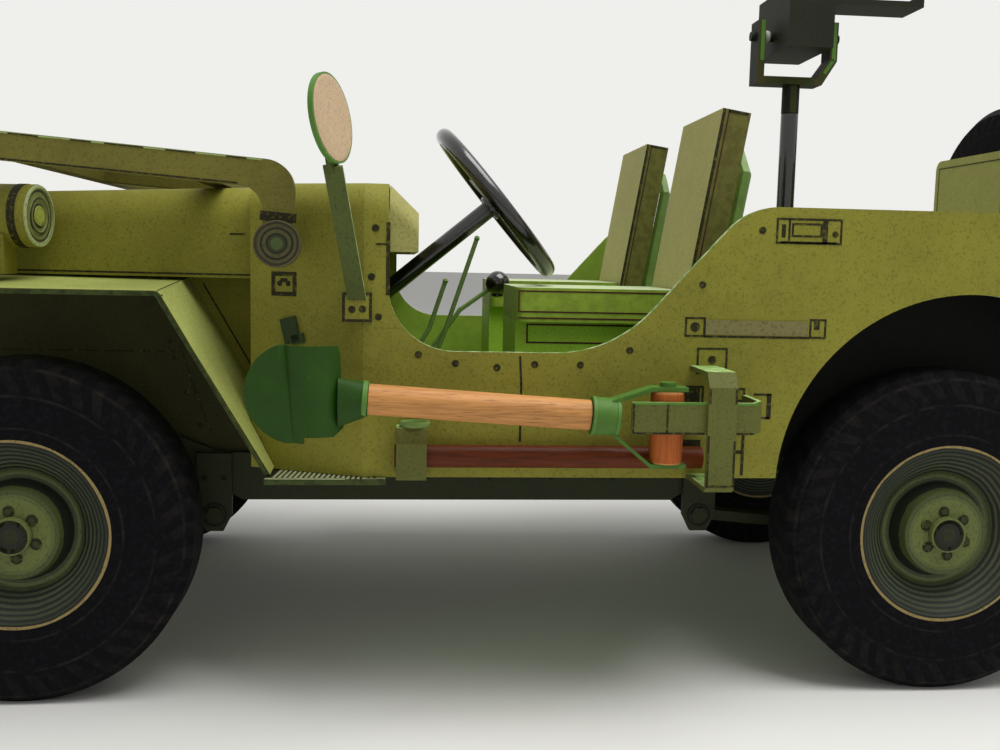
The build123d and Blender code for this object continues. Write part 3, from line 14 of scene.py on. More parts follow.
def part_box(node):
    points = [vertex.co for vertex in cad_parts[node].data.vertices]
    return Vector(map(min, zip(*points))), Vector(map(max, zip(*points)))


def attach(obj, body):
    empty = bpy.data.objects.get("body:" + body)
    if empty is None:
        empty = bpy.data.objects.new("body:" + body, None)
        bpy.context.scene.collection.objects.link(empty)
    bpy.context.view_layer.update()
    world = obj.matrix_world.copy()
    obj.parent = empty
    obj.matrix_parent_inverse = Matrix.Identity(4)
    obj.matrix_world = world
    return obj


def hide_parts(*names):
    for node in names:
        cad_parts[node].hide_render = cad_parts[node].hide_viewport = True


bl_info = {
    "name": "Card Model Car",
    "version": (1, 0, 0),
    "blender": (4, 5, 0),
    "location": "View3D > Sidebar > Card Car",
    "description": "Printed card, painted edges, wood and wire of a card scale model car",
    "category": "Object",
}

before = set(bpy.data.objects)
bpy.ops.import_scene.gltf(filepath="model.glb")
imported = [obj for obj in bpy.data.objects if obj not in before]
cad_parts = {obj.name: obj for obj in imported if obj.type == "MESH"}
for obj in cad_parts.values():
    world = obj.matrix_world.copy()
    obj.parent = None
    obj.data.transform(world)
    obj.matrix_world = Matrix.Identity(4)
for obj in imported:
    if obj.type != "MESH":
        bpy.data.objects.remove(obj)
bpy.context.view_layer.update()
MM = 0.001


def middle(node):
    """The middle of a node's box, in metres."""
    low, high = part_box(node)
    return (Vector(low) + Vector(high)) / 2


HUBS = {name: middle("tyre_" + name) for name in ("front_left", "front_right", "rear_left", "rear_right")}
SPARE_HUB = middle("spare_tyre")
ZERO = Vector((
    (HUBS["front_left"].x + HUBS["rear_left"].x) / 2, (HUBS["front_left"].y + HUBS["front_right"].y) / 2, 0,
))


def at(x, y, z):
    """A point in metres from millimetres off the drawing's zero."""
    return ZERO + Vector((x, y, z)) * MM


def linear(hex_colour):
    """An sRGB hex colour as a linear colour with alpha."""
    channels = [int(hex_colour[i:i + 2], 16) / 255 for i in (1, 3, 5)]
    return [c / 12.92 if c <= 0.04045 else ((c + 0.055) / 1.055) ** 2.4 for c in channels] + [1.0]


# Places and angles of the pieces, as in the part's source
SIDE_Y = 28.9
BAY_WALL_Y = 16.8
PIVOT = (18.5, 31.05, 39.3)
MIRROR_AT = (13.9, 34.0, 48.9)
MIRROR_TURN = math.radians(21)
MIRROR_LEAN = math.radians(8.4)
STEER_AT = (-0.45, 13.0, 43.9)
STEER_TILT = math.radians(39.5)
STEER_TOE = math.radians(4)
DRUM_LAMP = (39.8, 22.0, 41.3)
DRUM_LAMP_TOE = math.radians(8)
SHOVEL_Y = 32.55
# The outer faces of the two straps over the tools
LEVEL_STRAP_Y = 34.4
UPRIGHT_STRAP_Y = 34.9
# Corners of the fender: the fold, x and z, and the foot of its slope
FENDER_FOLD = (28.2, 35.3)
FENDER_FOOT = (19.4, 20.0)
# The front seats' backs: x and z of the top and of the low end of the front face, and their thickness
BACK_TOP = (-20.1, 52.5)
BACK_LOW = (-17.34, 35.6)
BACK_T = 2.6
# How far in from the cowl's outline its edge paint reaches
RIM_WIDTH = 1.0
# The wheel boxes' inner wall, and how thick their card is
WELL_Y = 20.9
WELL_WALL = 0.6
# Half the yoke's width
YOKE_HALF = 1.3
LEFT, RIGHT = 1, -1
SIDES = ((LEFT, "left"), (RIGHT, "right"))


def tint(name, text, hex_colour):
    """A colour that the user may change."""
    return FloatVectorProperty(
        name=name, description=text, subtype="COLOR", size=4, min=0, max=1, default=linear(hex_colour)
    )


class CardCarColours(bpy.types.PropertyGroup):
    """Colours of the printed card and of its painted edges."""
    body: tint("Body print", "Olive drab print on the body card", "#8E8B34")
    body_dark: tint("Body shade", "Darker blotches in the body print", "#737029")
    inside: tint("Inside print", "Green print inside the tub", "#8BA83A")
    seat: tint("Seat print", "Canvas coloured print on the seats", "#BEB86E")
    edge: tint("Painted edge", "Green paint on the card's cut edges", "#5E8A3C")
    edge_bare: tint("Bare edge", "Paper that shows where the edge paint is thin", "#C3CFA2")
    tool_green: tint("Tool paint", "Green paint on the shovel", "#294B10")
    dark_print: tint("Underside print", "Dark print under the car", "#2C301B")
    ink: tint("Ink", "Printed lines and rivets", "#25230F")
    tyre: tint("Tyre print", "Near black print on the tyres", "#0A0A0D")
    rim: tint("Rim edge", "Tan edge of the wheel discs", "#9C8858")
    black: tint("Black paint", "Gloss black on wire and tube", "#0B0B0D")
    pale_wood: tint("Pale wood", "Stained wood of the shovel", "#CE9255")
    dark_wood: tint("Dark wood", "Stained wood of the axe handle", "#642A08")
    mirror: tint("Mirror face", "Buff print on the mirror", "#C9AE8C")
    # This tone is the fenders' olive print lifted paler as painted light on their tops and slopes
    fender: tint("Fender print", "Paler olive print on the front fenders", "#BEC66E")
    fender_edge: tint("Fender edge", "Dark green cut edge of the fenders", "#3B471C")


class CardCarSizes(bpy.types.PropertyGroup):
    """Sizes of the small forms."""
    ink_proud: FloatProperty(
        name="Ink height", description="How far printed lines stand off the card", unit="LENGTH",
        default=0.03 * MM, min=0.005 * MM, max=0.2 * MM, precision=6,
    )
    line: FloatProperty(
        name="Line", description="Width of a printed line", unit="LENGTH", default=0.16 * MM, precision=6,
    )
    lugs: IntProperty(name="Lugs", description="Printed lugs round a tyre", default=44, min=12, max=80)


class CardCarStage(bpy.types.PropertyGroup):
    """Floor, light and camera."""
    floor: tint("Floor", "Colour of the floor", "#F1F0EC")
    key: FloatProperty(name="Key light", description="Power of the light above", default=0.75, min=0)
    fill: FloatProperty(name="Fill", description="Strength of the light all round", default=0.32, min=0)


def tone_of(word):
    """A tone from a hex, from the name of one of the user's colours, or from such a name and a share."""
    name, share = word if isinstance(word, tuple) else (word, 1)
    group = bpy.context.scene.card_car_colours
    return shade_of(linear(name) if name.startswith("#") else list(getattr(group, name)), share)


# Materials

def add_node(tree, kind, settings=(), inputs=()):
    """Adds one shader node. Inputs are plain values or the sockets that feed them."""
    made = tree.nodes.new(kind)
    for key, value in dict(settings).items():
        setattr(made, key, value)
    for key, value in dict(inputs).items():
        if isinstance(value, bpy.types.NodeSocket):
            tree.links.new(value, made.inputs[key])
        else:
            made.inputs[key].default_value = value
    return made


def coordinates(tree, kind):
    """One kind of texture coordinates; Object ones are the place in metres, as pieces stand at the origin."""
    return add_node(tree, "ShaderNodeTexCoord").outputs[kind]


def split(tree, vector):
    """The x, y and z of a vector."""
    return add_node(tree, "ShaderNodeSeparateXYZ", inputs={0: vector}).outputs


def blank(name, **sockets):
    """A new node material, its tree, its shader and its coordinates in millimetres."""
    material = bpy.data.materials.new(name)
    material.use_nodes = True
    tree = material.node_tree
    shader = tree.nodes["Principled BSDF"]
    for key, value in sockets.items():
        shader.inputs[key.replace("_", " ")].default_value = value
    scaled = add_node(tree, "ShaderNodeMapping", inputs={
        "Vector": coordinates(tree, "Object"), "Scale": (1 / MM,) * 3,
    })
    return material, tree, shader, scaled.outputs["Vector"]


def noise(tree, vector, per_mm, detail=2.0, low=0.4, high=0.6):
    """A noise mask that runs from 0 to 1 between two levels; per_mm is blotches in a millimetre."""
    made = add_node(tree, "ShaderNodeTexNoise", inputs={
        "Vector": vector, "Scale": per_mm, "Detail": detail,
    })
    return add_node(tree, "ShaderNodeMapRange", inputs={
        "Value": made.outputs["Fac"], "From Min": low, "From Max": high,
    }).outputs["Result"]


def mixed(tree, factor, a, b):
    """One colour laid over another."""
    return add_node(tree, "ShaderNodeMix", {"data_type": "RGBA"}, {0: factor, 6: a, 7: b}).outputs[2]


def maths(tree, operation, a, b=0.0):
    """One sum on plain values or sockets."""
    return add_node(tree, "ShaderNodeMath", {"operation": operation}, {0: a, 1: b}).outputs[0]


def times(tree, a, b):
    """One value or socket times another."""
    return maths(tree, "MULTIPLY", a, b)


def shade_of(colour, factor):
    """The same colour, lighter or darker."""
    return [min(1.0, c * factor) for c in colour[:3]] + [1.0]


def veil(tree, mask, share, colour, over):
    """One colour laid over another through a share of a mask."""
    return mixed(tree, times(tree, mask, share), colour, over)


def add_bump(tree, shader, strength, distance, height):
    """Raises the surface by a height mask; distance is in millimetres."""
    bump = add_node(tree, "ShaderNodeBump", inputs={
        "Strength": strength, "Distance": distance * MM, "Height": height,
    })
    tree.links.new(bump.outputs["Normal"], shader.inputs["Normal"])


def lay_ink(tree, shader, vector, colour, fleck):
    """Joins a card's colour, its fibre about 0.15 mm across, and ink that lies a little proud of it."""
    tree.links.new(colour, shader.inputs["Base Color"])
    fibre = noise(tree, vector, 5.5, 3.0, 0.3, 0.7)
    add_bump(tree, shader, 0.35, 0.02, maths(tree, "ADD", fibre, times(tree, fleck, 0.5)))


def vector_maths(tree, operation, a, b=(0, 0, 0)):
    """One sum on vectors."""
    return add_node(tree, "ShaderNodeVectorMath", {"operation": operation}, {0: a, 1: b}).outputs


def dot_product(tree, a, b):
    """How far one vector runs along another."""
    return vector_maths(tree, "DOT_PRODUCT", a, b)["Value"]


def off_middle(tree, value, centre):
    """How far a coordinate lies from a place, to either side."""
    return maths(tree, "ABSOLUTE", maths(tree, "SUBTRACT", value, centre))


def card_tone(tree, vector, face, dark):
    """The mottled ink of a printed face, and the mask of its dark specks."""
    # Blotches about 9 mm across, dry brushing of 1.4 mm and print specks of 0.2 mm
    blotch = noise(tree, vector, 0.11, 3.0, 0.36, 0.64)
    brushed = noise(tree, vector, 0.7, 4.0, 0.42, 0.62)
    fleck = noise(tree, vector, 4.6, 2.0, 0.54, 0.68)
    pale_fleck = noise(tree, vector, 5.2, 1.0, 0.58, 0.72)
    colour = veil(tree, blotch, 0.5, face, dark)
    colour = veil(tree, brushed, 0.2, colour, shade_of(face, 1.22))
    colour = veil(tree, fleck, 0.4, colour, shade_of(dark, 0.5))
    return veil(tree, pale_fleck, 0.26, colour, shade_of(face, 1.5)), fleck


def printed_card(name, face, dark, facing=None, cut=("edge", "edge_bare"), bent=False, back=None, rim=None):
    """Laminated card with a printed face: mottled matt ink, and cut edges touched up with paint.

    The cut edges of a flat sheet look square to facing, the way its print looks, and those of a bent
    one look the way of facing. cut is the two tones of the edges, and back the tone of the sheet's
    other side. rim names a node whose paint keeps to its outer edge, off the broad faces that look
    the same way.
    """
    material, tree, shader, vector = blank(
        "printed_card_" + name, Roughness=0.62, Specular_IOR_Level=0.2,
    )
    colour, fleck = card_tone(tree, vector, tone_of(face), tone_of(dark))
    if facing:
        look = dot_product(tree, coordinates(tree, "Normal"), facing)
        if back:
            cloud = noise(tree, vector, 0.7, 4.0, 0.42, 0.9)
            plain = mixed(tree, cloud, tone_of(back), tone_of((back, 0.72)))
            colour = mixed(tree, maths(tree, "LESS_THAN", look, -0.5), colour, plain)
        limit = ("GREATER_THAN", 0.93) if bent else ("LESS_THAN", 0.5)
        is_edge = maths(tree, limit[0], maths(tree, "ABSOLUTE", look), limit[1])
        if rim:
            low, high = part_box(rim)
            _, y, z = split(tree, coordinates(tree, "Object"))
            off_line = off_middle(tree, y, (low[1] + high[1]) / 2)
            side = maths(tree, "GREATER_THAN", off_line, (high[1] - low[1]) / 2 - RIM_WIDTH * MM)
            top = maths(tree, "GREATER_THAN", z, high[2] - RIM_WIDTH * MM)
            is_edge = times(tree, is_edge, maths(tree, "MAXIMUM", side, top))
        paint = mixed(tree, noise(tree, vector, 1.3, 4.0, 0.44, 0.6), tone_of(cut[0]), tone_of(cut[1]))
        colour = mixed(tree, is_edge, colour, paint)
    lay_ink(tree, shader, vector, colour, fleck)
    return material


def bay_card(name, face, dark, lit):
    """Bay wall card: print darkened with painted shade under the fender, olive print behind its slope."""
    material, tree, shader, vector = blank(name, Roughness=0.7, Specular_IOR_Level=0.2)
    # Under the fender the tone is darkened as painted shade from the fender; behind its slope the body's
    # olive print
    shaded, fleck = card_tone(tree, vector, tone_of(face), tone_of(dark))
    olive = card_tone(tree, vector, tone_of(lit), tone_of((lit, 0.75)))[0]
    # Which side of the fender's slope a point lies on, in the drawing's x and z
    run = Vector((FENDER_FOLD[0] - FENDER_FOOT[0], FENDER_FOLD[1] - FENDER_FOOT[1]))
    ahead = Vector((run.y, 0, -run.x)).normalized()
    fold = Vector((FENDER_FOLD[0], 0, FENDER_FOLD[1])) + ZERO / MM
    under = maths(tree, "GREATER_THAN", dot_product(tree, vector, ahead), fold.dot(ahead))
    lay_ink(tree, shader, vector, mixed(tree, under, olive, shaded), fleck)
    return material


def well_card(name, inside, well):
    """Wheel box card: the tub's green print, and painted shade in the hollow over the tyre."""
    material, tree, shader, vector = blank(name, Roughness=0.7, Specular_IOR_Level=0.15)
    tub, fleck = card_tone(tree, vector, tone_of(inside), tone_of((inside, 0.75)))
    # Near black painted shade for the recess over the tyre
    hollow = card_tone(tree, vector, tone_of(well), tone_of((well, 0.6)))[0]
    low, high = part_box("wheel_boxes")
    skin = WELL_WALL * MM / 2
    x, y, z = split(tree, coordinates(tree, "Object"))
    from_middle = off_middle(tree, x, (low[0] + high[0]) / 2)
    off_line = off_middle(tree, y, ZERO.y)
    within = maths(tree, "LESS_THAN", from_middle, (high[0] - low[0]) / 2 - skin)
    within = times(tree, within, maths(tree, "GREATER_THAN", off_line, WELL_Y * MM + skin))
    within = times(tree, within, maths(tree, "LESS_THAN", z, high[2] - skin))
    lay_ink(tree, shader, vector, mixed(tree, within, tub, hollow), fleck)
    return material


def painted_card(name, tone, chips=0.35, roughness=0.5):
    """Card or thin tube brushed over with model paint: satin, streaked, with pale chips."""
    material, tree, shader, vector = blank(name, Roughness=roughness, Specular_IOR_Level=0.2)
    streak = noise(tree, vector, 0.5, 5.0, 0.38, 0.66)
    chip = noise(tree, vector, 2.6, 3.0, 0.66, 0.74)
    colour = tone_of(tone)
    body = veil(tree, streak, 0.6, colour, shade_of(colour, 0.68))
    lay_ink(tree, shader, vector, veil(tree, chip, chips, body, shade_of(colour, 2.0)), chip)
    return material


def printers_ink(name, tone, paper):
    """Printed line ink: matt, and a little broken where the paper's fibre shows."""
    material, tree, shader, vector = blank(
        "printers_ink_" + name, Roughness=0.62, Specular_IOR_Level=0.2,
    )
    gap = noise(tree, vector, 3.2, 2.0, 0.52, 0.74)
    lay_ink(tree, shader, vector, veil(tree, gap, 0.6, tone_of(tone), tone_of(paper)), gap)
    return material


def stained_wood(name, tone, along=(1, 0, 0)):
    """A stained dowel: long grain lines 0.25 mm apart, darker pores, a thin wax shine."""
    material, tree, shader, vector = blank(name, Roughness=0.45, Specular_IOR_Level=0.2)
    # Grain is drawn fourteen times longer than wide
    squeeze = [0.07 if way else 1.0 for way in along]
    stretched = add_node(tree, "ShaderNodeMapping", inputs={
        "Vector": vector, "Scale": squeeze,
    }).outputs["Vector"]
    grain = noise(tree, stretched, 4.5, 5.0, 0.35, 0.65)
    pores = noise(tree, stretched, 8.0, 3.0, 0.58, 0.7)
    broad = noise(tree, stretched, 0.6, 3.0, 0.35, 0.65)
    colour = tone_of(tone)
    body = mixed(tree, grain, colour, shade_of(colour, 0.6))
    body = veil(tree, broad, 0.45, body, shade_of(colour, 1.35))
    body = veil(tree, pores, 0.6, body, shade_of(colour, 0.3))
    tree.links.new(body, shader.inputs["Base Color"])
    add_bump(tree, shader, 0.5, 0.03, grain)
    return material


def gloss_black(name, tone):
    """Wire or tube dipped in black enamel: a clear highlight, brush marks and a few worn spots."""
    material, tree, shader, vector = blank(
        name, Roughness=0.2, Coat_Weight=0.5, Coat_Roughness=0.12,
    )
    brushed = noise(tree, vector, 1.2, 4.0, 0.4, 0.65)
    worn = noise(tree, vector, 2.6, 3.0, 0.66, 0.72)
    body = veil(tree, brushed, 0.5, tone_of(tone), linear("#241F1B"))
    body = veil(tree, worn, 0.35, body, linear("#4A4A3C"))
    tree.links.new(body, shader.inputs["Base Color"])
    add_bump(tree, shader, 0.3, 0.02, brushed)
    return material


def clear_film(name):
    """Clear acetate: nearly see-through, thin and glossy, with faint smears."""
    material, tree, shader, vector = blank(
        name, Base_Color=linear("#DDE4D8"), Roughness=0.06, IOR=1.49, Alpha=0.22,
    )
    smear = noise(tree, vector, 0.25, 4.0, 0.4, 0.7)
    rough = add_node(tree, "ShaderNodeMapRange", inputs={"Value": smear, "To Min": 0.05, "To Max": 0.22})
    tree.links.new(rough.outputs["Result"], shader.inputs["Roughness"])
    return material


# Rings printed on round card pieces, from the middle outwards: radius where a tone starts, sRGB hex
DISC_RINGS = [
    (0.0, "#3A3B2C"), (0.55, "#15160F"), (1.42, "#626C36"), (3.1, "#566031"), (3.4, "#434D25"),
    (3.98, "#181C12"), (4.45, "#3E4828"), (4.75, "#58623A"), (5.1, "#434D2D"), (5.34, "#191F12"),
    (5.54, "#444D36"), (5.74, "#1A2013"), (5.94, "#494D38"), (6.14, "#1A1E13"), (6.34, "#404833"),
    (6.54, "#161A10"), (6.74, "#3B432F"), (6.94, "#151910"), (7.14, "#383F2B"), (7.34, "#13170E"),
    (7.54, "#2C3221"), (7.68, "#13170E"), (7.85, "#94814F"),
]
PIVOT_RINGS = [
    (0.0, "#4A5A2E"), (0.46, "#3B4426"), (0.66, "#23230F"), (0.84, "#504F2C"), (1.14, "#26240F"),
    (1.32, "#545030"), (1.58, "#2C2913"), (1.76, "#5A5634"),
]
LAMP_RINGS = [
    (0.0, "#A9B24C"), (0.62, "#98A148"), (0.88, "#33351D"), (1.08, "#7D8149"), (1.42, "#3A3B22"),
    (1.62, "#82874C"), (2.02, "#45462A"), (2.22, "#8E965C"), (2.4, "#B4C08A"),
]


def about_hub(tree, vector, hub):
    """Coordinates in millimetres measured from a hub."""
    return add_node(tree, "ShaderNodeMapping", {"vector_type": "TEXTURE"}, {
        "Vector": vector, "Location": hub / MM,
    }).outputs["Vector"]


def printed_rings(name, hub, ways, rings):
    """Card printed with rings; ways keeps the two directions across the piece's axis."""
    reach = rings[-1][0] + 0.9
    material, tree, shader, vector = blank(name, Roughness=0.6, Specular_IOR_Level=0.3)
    centred = about_hub(tree, vector, hub)
    radius = vector_maths(tree, "LENGTH", vector_maths(tree, "MULTIPLY", centred, ways)["Vector"])["Value"]
    # The rings waver by 0.1 mm, as hand cut ones do
    waver = add_node(tree, "ShaderNodeTexNoise", inputs={"Vector": centred, "Scale": 0.35}).outputs["Fac"]
    radius = maths(tree, "ADD", radius, times(tree, maths(tree, "SUBTRACT", waver, 0.5), 0.3))
    ramp = add_node(tree, "ShaderNodeValToRGB", inputs={0: maths(tree, "DIVIDE", radius, reach)})
    # Each tone holds until the next ring starts
    ramp.color_ramp.interpolation = "CONSTANT"
    elements = ramp.color_ramp.elements
    while len(elements) < len(rings):
        elements.new(0.5)
    for element, (start, hex_colour) in zip(elements, rings):
        element.position = start / reach
        element.color = linear(hex_colour)
    fleck = noise(tree, vector, 4.0, 2.0, 0.52, 0.7)
    lay_ink(tree, shader, vector, veil(tree, fleck, 0.4, ramp.outputs["Color"], linear("#1A1D13")), fleck)
    return material


# The tyres: the radii between which the lugs come in, and the printed lines, radius and half width
LUGS_FROM = (11.9, 12.3)
TYRE_LINES = ((14.05, 0.12), (11.75, 0.12), (9.05, 0.1))


def printed_tyre(name, hub, axis):
    """Tyre rings of laminated card printed near black, with brown grey lugs and thin printed rings.

    axis is 0 where the wheel turns about x, and 1 where it turns about y.
    """
    material, tree, shader, vector = blank(name, Roughness=0.85, Specular_IOR_Level=0.1)
    parts = split(tree, about_hub(tree, vector, hub))
    across = maths(tree, "ABSOLUTE", parts[axis])
    level, upright = parts[1 - axis], parts[2]
    angle = maths(tree, "DIVIDE", maths(tree, "ARCTAN2", upright, level), 2 * math.pi)
    radius = maths(tree, "SQRT", maths(tree, "ADD", times(tree, level, level), times(tree, upright, upright)))
    count = bpy.context.scene.card_car_sizes.lugs
    # Lugs on the side lean with the radius; on the tread they lean with the distance from the middle
    lean = maths(tree, "ADD", times(tree, radius, 0.32), times(tree, across, 0.25))
    turn = maths(tree, "FRACT", maths(tree, "ADD", times(tree, angle, count), lean))
    lug = add_node(tree, "ShaderNodeMapRange", {"interpolation_type": "SMOOTHSTEP"}, {
        "Value": off_middle(tree, turn, 0.5), "From Min": 0.2, "From Max": 0.28,
    }).outputs["Result"]
    outer = add_node(tree, "ShaderNodeMapRange", inputs={
        "Value": radius, "From Min": LUGS_FROM[0], "From Max": LUGS_FROM[1],
    })
    lugs = times(tree, lug, outer.outputs["Result"])
    patchy = noise(tree, vector, 0.9, 4.0, 0.35, 0.7)
    dust = noise(tree, vector, 2.4, 3.0, 0.5, 0.72)
    colour = veil(tree, times(tree, lugs, patchy), 0.4, tone_of("tyre"), linear("#2C2822"))
    colour = veil(tree, dust, 0.35, colour, linear("#222026"))
    for ring, width in TYRE_LINES:
        near = maths(tree, "LESS_THAN", off_middle(tree, radius, ring), width)
        line = times(tree, near, times(tree, patchy, 0.22))
        colour = mixed(tree, line, colour, linear("#4C463E"))
    tree.links.new(colour, shader.inputs["Base Color"])
    height = maths(tree, "ADD", lugs, times(tree, dust, 0.3))
    add_bump(tree, shader, 0.6, 0.08, height)
    return material


BODY = ("body", "body_dark")
EDGES = ("edge", "edge_bare")
# Each finish of the model under the function that makes it, with what that is given
RECIPES = (
    (printed_card, {
        # name, face, dark; the way it looks, tones of its cut edges, whether it is bent, its back, its rim
        "body_card": ("body", *BODY),
        "left_sheet": ("left_side", *BODY, (0, 1, 0), EDGES, False, "inside"),
        "right_sheet": ("right_side", *BODY, (0, -1, 0), EDGES, False, "inside"),
        "rear_sheet": ("back", *BODY, (-1, 0, 0), EDGES, False, "inside"),
        "front_sheet": ("grille", *BODY, (1, 0, 0), EDGES, False, "inside"),
        "bent_sheet": ("bent", *BODY, (1, 0, 0), EDGES, True),
        "cowl_sheet": ("cowl", *BODY, (1, 0, 0), EDGES, True, None, "cowl"),
        # The fenders: olive print lifted paler as painted light
        "fender_sheet": ("fender", "fender", ("fender", 0.8), (0, 1, 0),
                         ("fender_edge", ("fender_edge", 0.5)), True),
        "screen_card": ("screen", "#757030", "#615C28"),
        "inside_card": ("inside", "inside", ("inside", 0.75)),
        # Pale canvas print on the fronts, brown olive print darkened with painted shade on the sides
        "seat_card": ("seat_backs", "seat", ("seat", 0.85), (0.987, 0, 0.161), ("#6E6C32", "#605E2A")),
        # The cushions: canvas print with a painted highlight on the pale tops, green print on the sides
        "cushion_card": ("cushions", "#C4D4A4", "#B6C48E", (0, 0, 1), ("#96B03C", "#88A036")),
        "box_card": ("seat_boxes", "#A0C83E", "#8EB436"),
        "dash_card": ("dash", "#A8A462", "#8E8C4C"),
        "strap_card": ("straps", "#666932", "#545727", (0, 0, 1), ("#7FA350", "#B4CC8C"), True),
        # The mirror arm: dark green print deepened with painted shade, its pale front and rear edges partly a
        # painted highlight
        "arm_card": ("mirror_arm", "#55602F", "#414A24", (1, 0, 0), ("#7E9A58", "#A8BC86"), True),
        "step_card": ("step", "#2A2A16", "#1A1A0C", (0, 0, 1), ("#465226", "#363F1E")),
        "yoke_card": ("yoke", "#22231A", "#121310", (0, 1, 0), ("#3A4420", "#4E4420"), True),
        "mount_card": ("cradle", "#26281A", "#151610"),
        "dark_card": ("underside", "dark_print", ("dark_print", 0.6)),
        "mirror": ("mirror", "mirror", ("mirror", 0.86)),
    }),
    # The wheel boxes: the tub's print, and painted shade in the hollows over the tyres
    (well_card, {"well_card": ("printed_card_wheel_boxes", "inside", "#12120F")}),
    # The bay walls: painted shade under the fenders, the body's print behind their slopes
    (bay_card, {"bay_card": ("printed_card_bay", "#3A3A20", "#26270F", "body")}),
    (printed_rings, {
        "lamp_rings": ("printed_rings_fender_lamp", at(*DRUM_LAMP), (0, 1, 1), LAMP_RINGS),
        "pivot_rings": ("printed_rings_pivots", at(*PIVOT), (1, 0, 1), PIVOT_RINGS),
    }),
    (painted_card, {
        # name, tone; how much the chips show, roughness
        "dark_green": ("satin_dark_green_paint", "#30401E"),
        "tool_paint": ("satin_green_paint", "tool_green"),
        "edge_paint": ("satin_edge_green_paint", "edge", 0.5),
        "wire_paint": ("satin_light_green_paint", "#7C9A52", 0.3, 0.4),
        "arm_paint": ("satin_grip_arm_paint", "#527A30", 0.2),
        # Pale green of the windscreen arms' top edge: painted edge with a painted highlight
        "pale_edge": ("worn_pale_green_edge", "#9DB06C", 0.5),
        "rim_edge": ("worn_tan_rim_edge", "rim", 0.3, 0.6),
        "lens": ("varnished_lens_print", "#C3C7B4", 0.1, 0.25),
        "red_lens": ("varnished_red_print", "#7C2A1E", 0.1, 0.3),
        # White of the bead on the cradle's pin, partly a painted glint
        "bead": ("white_glass_bead", "#D9DAD2", 0.1, 0.18),
    }),
    (stained_wood, {
        "pale_wood": ("stained_pine_dowel", "pale_wood"),
        "grip_wood": ("stained_pine_grip", "#B5602A", (0, 0, 1)),
        "dark_wood": ("stained_walnut_dowel", "dark_wood"),
    }),
    (gloss_black, {"black": ("black_enamel", "black")}),
    (clear_film, {"film": ("clear_acetate",)}),
    (printers_ink, {
        # name, tone, paper under it
        "ink": ("dark", "ink", "body_dark"),
        "seam_ink": ("red_brown", "#43231A", "#5A4A26"),
        "tread_ink": ("tread", "#B9C093", "#7E8456"),
        "soft_ink": ("olive", "#4A471E", "body"),
        "pale_ink": ("pale", "#7F7A4C", "#4E4728"),
        "black_ink": ("black", "#0C0C08", "#1C1D12"),
    }),
)
_made = {}


def finish_named(key):
    """One of the finishes, made once."""
    if key not in _made:
        maker, given = next((maker, rows[key]) for maker, rows in RECIPES if key in rows)
        _made[key] = maker(*given)
    return _made[key]


# Which CAD nodes each finish is laid on; tyres and discs get their own
NODE_FINISHES = {node: finish for finish, nodes in {
    "arm_card": "mirror_arm",
    "arm_paint": "shovel_grip_arms",
    "bay_card": "bay_walls",
    "bent_sheet": "bonnet",
    "black": "pedestal_post steering_wheel_and_column",
    "body_card": "can can_tray fender_lamp front_bumper front_lamps rear_bumperettes spare_carrier "
                 "towing_eye",
    "box_card": "rear_seat_box seat_boxes",
    "cowl_sheet": "cowl",
    "cushion_card": "rear_seat_cushion seat_cushions",
    "dark_card": "chassis_frame exhaust_box front_axle gearbox_and_shafts leaf_springs rear_axle "
                 "spring_hangers",
    "dark_wood": "axe_handle",
    "dash_card": "dashboard",
    "edge_paint": "mirror_head",
    "fender_sheet": "left_fender right_fender",
    "film": "windscreen_panes",
    "front_sheet": "grille",
    "inside_card": "tub_floor",
    "left_sheet": "left_side_panel",
    "mount_card": "cradle",
    "pale_wood": "shovel_handle",
    "pivot_rings": "windscreen_pivots",
    "rear_sheet": "rear_panel",
    "right_sheet": "right_side_panel",
    "screen_card": "windscreen_frame",
    "seat_card": "rear_seat_back seat_backs",
    "step_card": "step_plates",
    "strap_card": "tool_straps",
    "tool_paint": "shovel_blade",
    "well_card": "wheel_boxes",
    "wire_paint": "control_levers seat_tubes",
    "yoke_card": "yoke",
}.items() for node in nodes.split()}


# Modelling helpers

def side_face(y, side=LEFT, x=0, z=0):
    """A flat face that looks to a side: its origin, the two ways across it and its way out."""
    return at(x, y, z), (1, 0, 0), (0, 0, 1), (0, side, 0)


def end_face(x, way=1, y=0, z=0):
    """The same for a face that looks forward, or back where way is -1."""
    return at(x, y, z), (0, 1, 0), (0, 0, 1), (way, 0, 0)


def top_face(z, x=0, y=0):
    """The same for a face that looks up."""
    return at(x, y, z), (1, 0, 0), (0, 1, 0), (0, 0, 1)


def tapered_face(side, corner, run):
    """The same for an upright face that looks out and forward: its corner and its run, x and y."""
    return (at(corner[0], side * corner[1], 0), (run[0], side * run[1], 0), (0, 0, 1),
            (abs(run[1]), side * abs(run[0]), 0))


def each(form, *rows):
    """Marks of one form."""
    return [(form, *row) for row in rows]


def dots(radius, *spots):
    """Round marks of one size."""
    return [("dot", *spot, radius) for spot in spots]


def object_mode():
    """Leaves edit mode and deselects everything."""
    if bpy.context.mode != "OBJECT":
        bpy.ops.object.mode_set(mode="OBJECT")
    bpy.ops.object.select_all(action="DESELECT")


def pick(piece):
    """Makes one object the only selected and active one."""
    object_mode()
    piece.select_set(True)
    bpy.context.view_layer.objects.active = piece


def open_made(name):
    """Names the primitive that was just added and opens it in edit mode."""
    piece = bpy.context.object
    piece.name = name
    bpy.ops.object.mode_set(mode="EDIT")
    return piece


